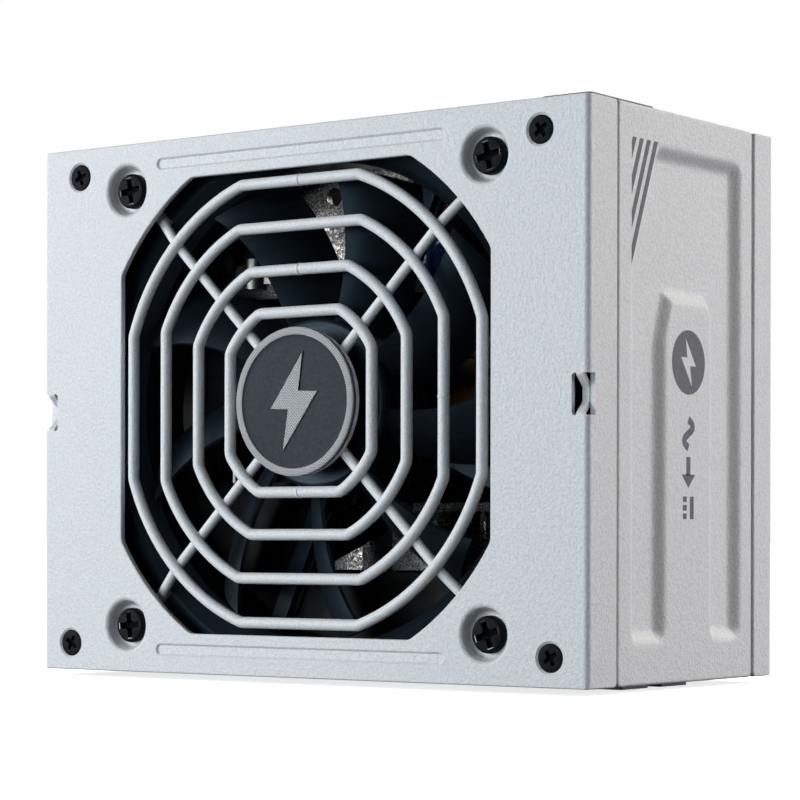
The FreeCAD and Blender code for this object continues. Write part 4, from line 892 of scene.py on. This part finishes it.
def rocker_marks():
    """A line and a ring on the two halves of the rocker."""
    low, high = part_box("power_rocker")
    centre = (low + high) / 2
    offset = 0.27 * (high.y - low.y) / MM
    line = stroke([(-1.5, -offset), (1.5, -offset)], 0.6)
    marks = [line, *ring_halves(0, offset, 1.5, 0.95)]
    above = high.z + OUTSIDE * MM
    print_on("rocker_marks", marks, frame["nodes"]["power_rocker"], ROCKER, MARK_WHITE,
             lambda u, v: Vector((centre.x + u * MM, centre.y + v * MM, above)), Vector((0, 0, -1)))


badge()
weld_marks()
screws("fan_screws", FAN_SCREW_RINGS, FAN_SCREW_TURNS, FAN_SCREW_CROSS, FAN_SCREW_DRIVE)
screws("cover_screws", COVER_SCREW_RINGS, COVER_SCREW_TURNS, COVER_SCREW_CROSS, COVER_SCREW_DRIVE)
right_panel, left_panel = side_panels()
side_print(1, right_panel)
side_print(-1, left_panel)
rocker_marks()


# ---------------------------------------------------------------- stage, light and camera

FLOOR_HALF = 40.0


def floor():
    """Plain pale floor, lit evenly by its own wide lamp, so that only a soft contact shadow shows."""
    mesh = bpy.data.meshes.new("floor")
    h = FLOOR_HALF
    mesh.from_pydata([(-h, -h, 0), (h, -h, 0), (h, h, 0), (-h, h, 0)], [], [(0, 1, 2, 3)])
    plane = bpy.data.objects.new("floor", mesh)
    bpy.context.scene.collection.objects.link(plane)
    tree = Tree("pale_floor")
    slow = tree.noise(3.0)
    tree.feed("Base_Color", tree.colours(slow, (0.3, grey(0.88)), (0.7, grey(0.90))))
    tree.set(Roughness=0.8, Emission_Color=(1, 1, 1, 1), Emission_Strength=0.75)
    mesh.materials.append(tree.material)
    plane.visible_diffuse = False
    plane.visible_glossy = False
    sky = bpy.data.lights.new("floor_lamp", "SUN")
    sky.angle = math.radians(150)
    sky.energy = 2.2
    lamp = bpy.data.objects.new("floor_lamp", sky)
    bpy.context.scene.collection.objects.link(lamp)
    only_floor = bpy.data.collections.new("floor_only")
    only_floor.objects.link(plane)
    lamp.light_linking.receiver_collection = only_floor


def softbox(name, place, width, height, power, colour):
    """Rectangular soft lamp that faces the middle of the object."""
    light = bpy.data.lights.new(name, "AREA")
    light.shape = "RECTANGLE"
    light.size = width
    light.size_y = height
    light.energy = power
    light.color = colour
    lamp = bpy.data.objects.new(name, light)
    lamp.location = place
    lamp.rotation_euler = (Vector((0, 0, 0.05)) - Vector(place)).to_track_quat("-Z", "Y").to_euler()
    bpy.context.scene.collection.objects.link(lamp)


def studio():
    """White surroundings, a cool key from the front left, a front fill and three lamps on the right."""
    world = bpy.data.worlds.new("studio")
    world.use_nodes = True
    nodes = world.node_tree.nodes
    links = world.node_tree.links
    soft = nodes["Background"]
    soft.inputs["Color"].default_value = (0.95, 0.97, 1.0, 1)
    soft.inputs["Strength"].default_value = 0.03
    seen = nodes.new("ShaderNodeBackground")
    seen.inputs["Color"].default_value = (1, 1, 1, 1)
    seen.inputs["Strength"].default_value = 1.0
    path = nodes.new("ShaderNodeLightPath")
    mix = nodes.new("ShaderNodeMixShader")
    links.new(path.outputs["Is Camera Ray"], mix.inputs["Fac"])
    links.new(soft.outputs["Background"], mix.inputs[1])
    links.new(seen.outputs["Background"], mix.inputs[2])
    links.new(mix.outputs["Shader"], nodes["World Output"].inputs["Surface"])
    bpy.context.scene.world = world
    softbox("key_left", (-0.60, -0.60, 0.15), 0.50, 0.60, 7.9, (0.94, 0.955, 1.0))
    softbox("fill_front", (-0.10, -1.00, 0.06), 0.70, 0.30, 4.5, (0.78, 0.93, 1.0))
    softbox("right_low", (0.95, 0.25, 0.06), 0.50, 0.40, 3.5, (1.0, 0.97, 0.93))
    softbox("rear_high", (0.50, 0.70, 0.60), 0.40, 0.60, 6.2, (1.0, 0.98, 0.92))
    softbox("rear_low", (0.60, 0.75, 0.06), 0.40, 0.40, 2.2, (0.80, 0.80, 1.0))


def camera():
    """The viewing angle: level, turned towards the fan face and the right side."""
    data = bpy.data.cameras.new("camera")
    data.lens = 122.32
    data.sensor_width = 36.0
    data.shift_y = 0.1769
    data.clip_start = 0.01
    eye = bpy.data.objects.new("camera", data)
    eye.location = spot(306.96, -384.11, 24.92)
    eye.rotation_euler = (math.radians(89.98), math.radians(-0.109), math.radians(36.438))
    bpy.context.scene.collection.objects.link(eye)
    bpy.context.scene.camera = eye


bpy.context.scene.view_settings.view_transform = "Standard"
floor()
studio()
camera()
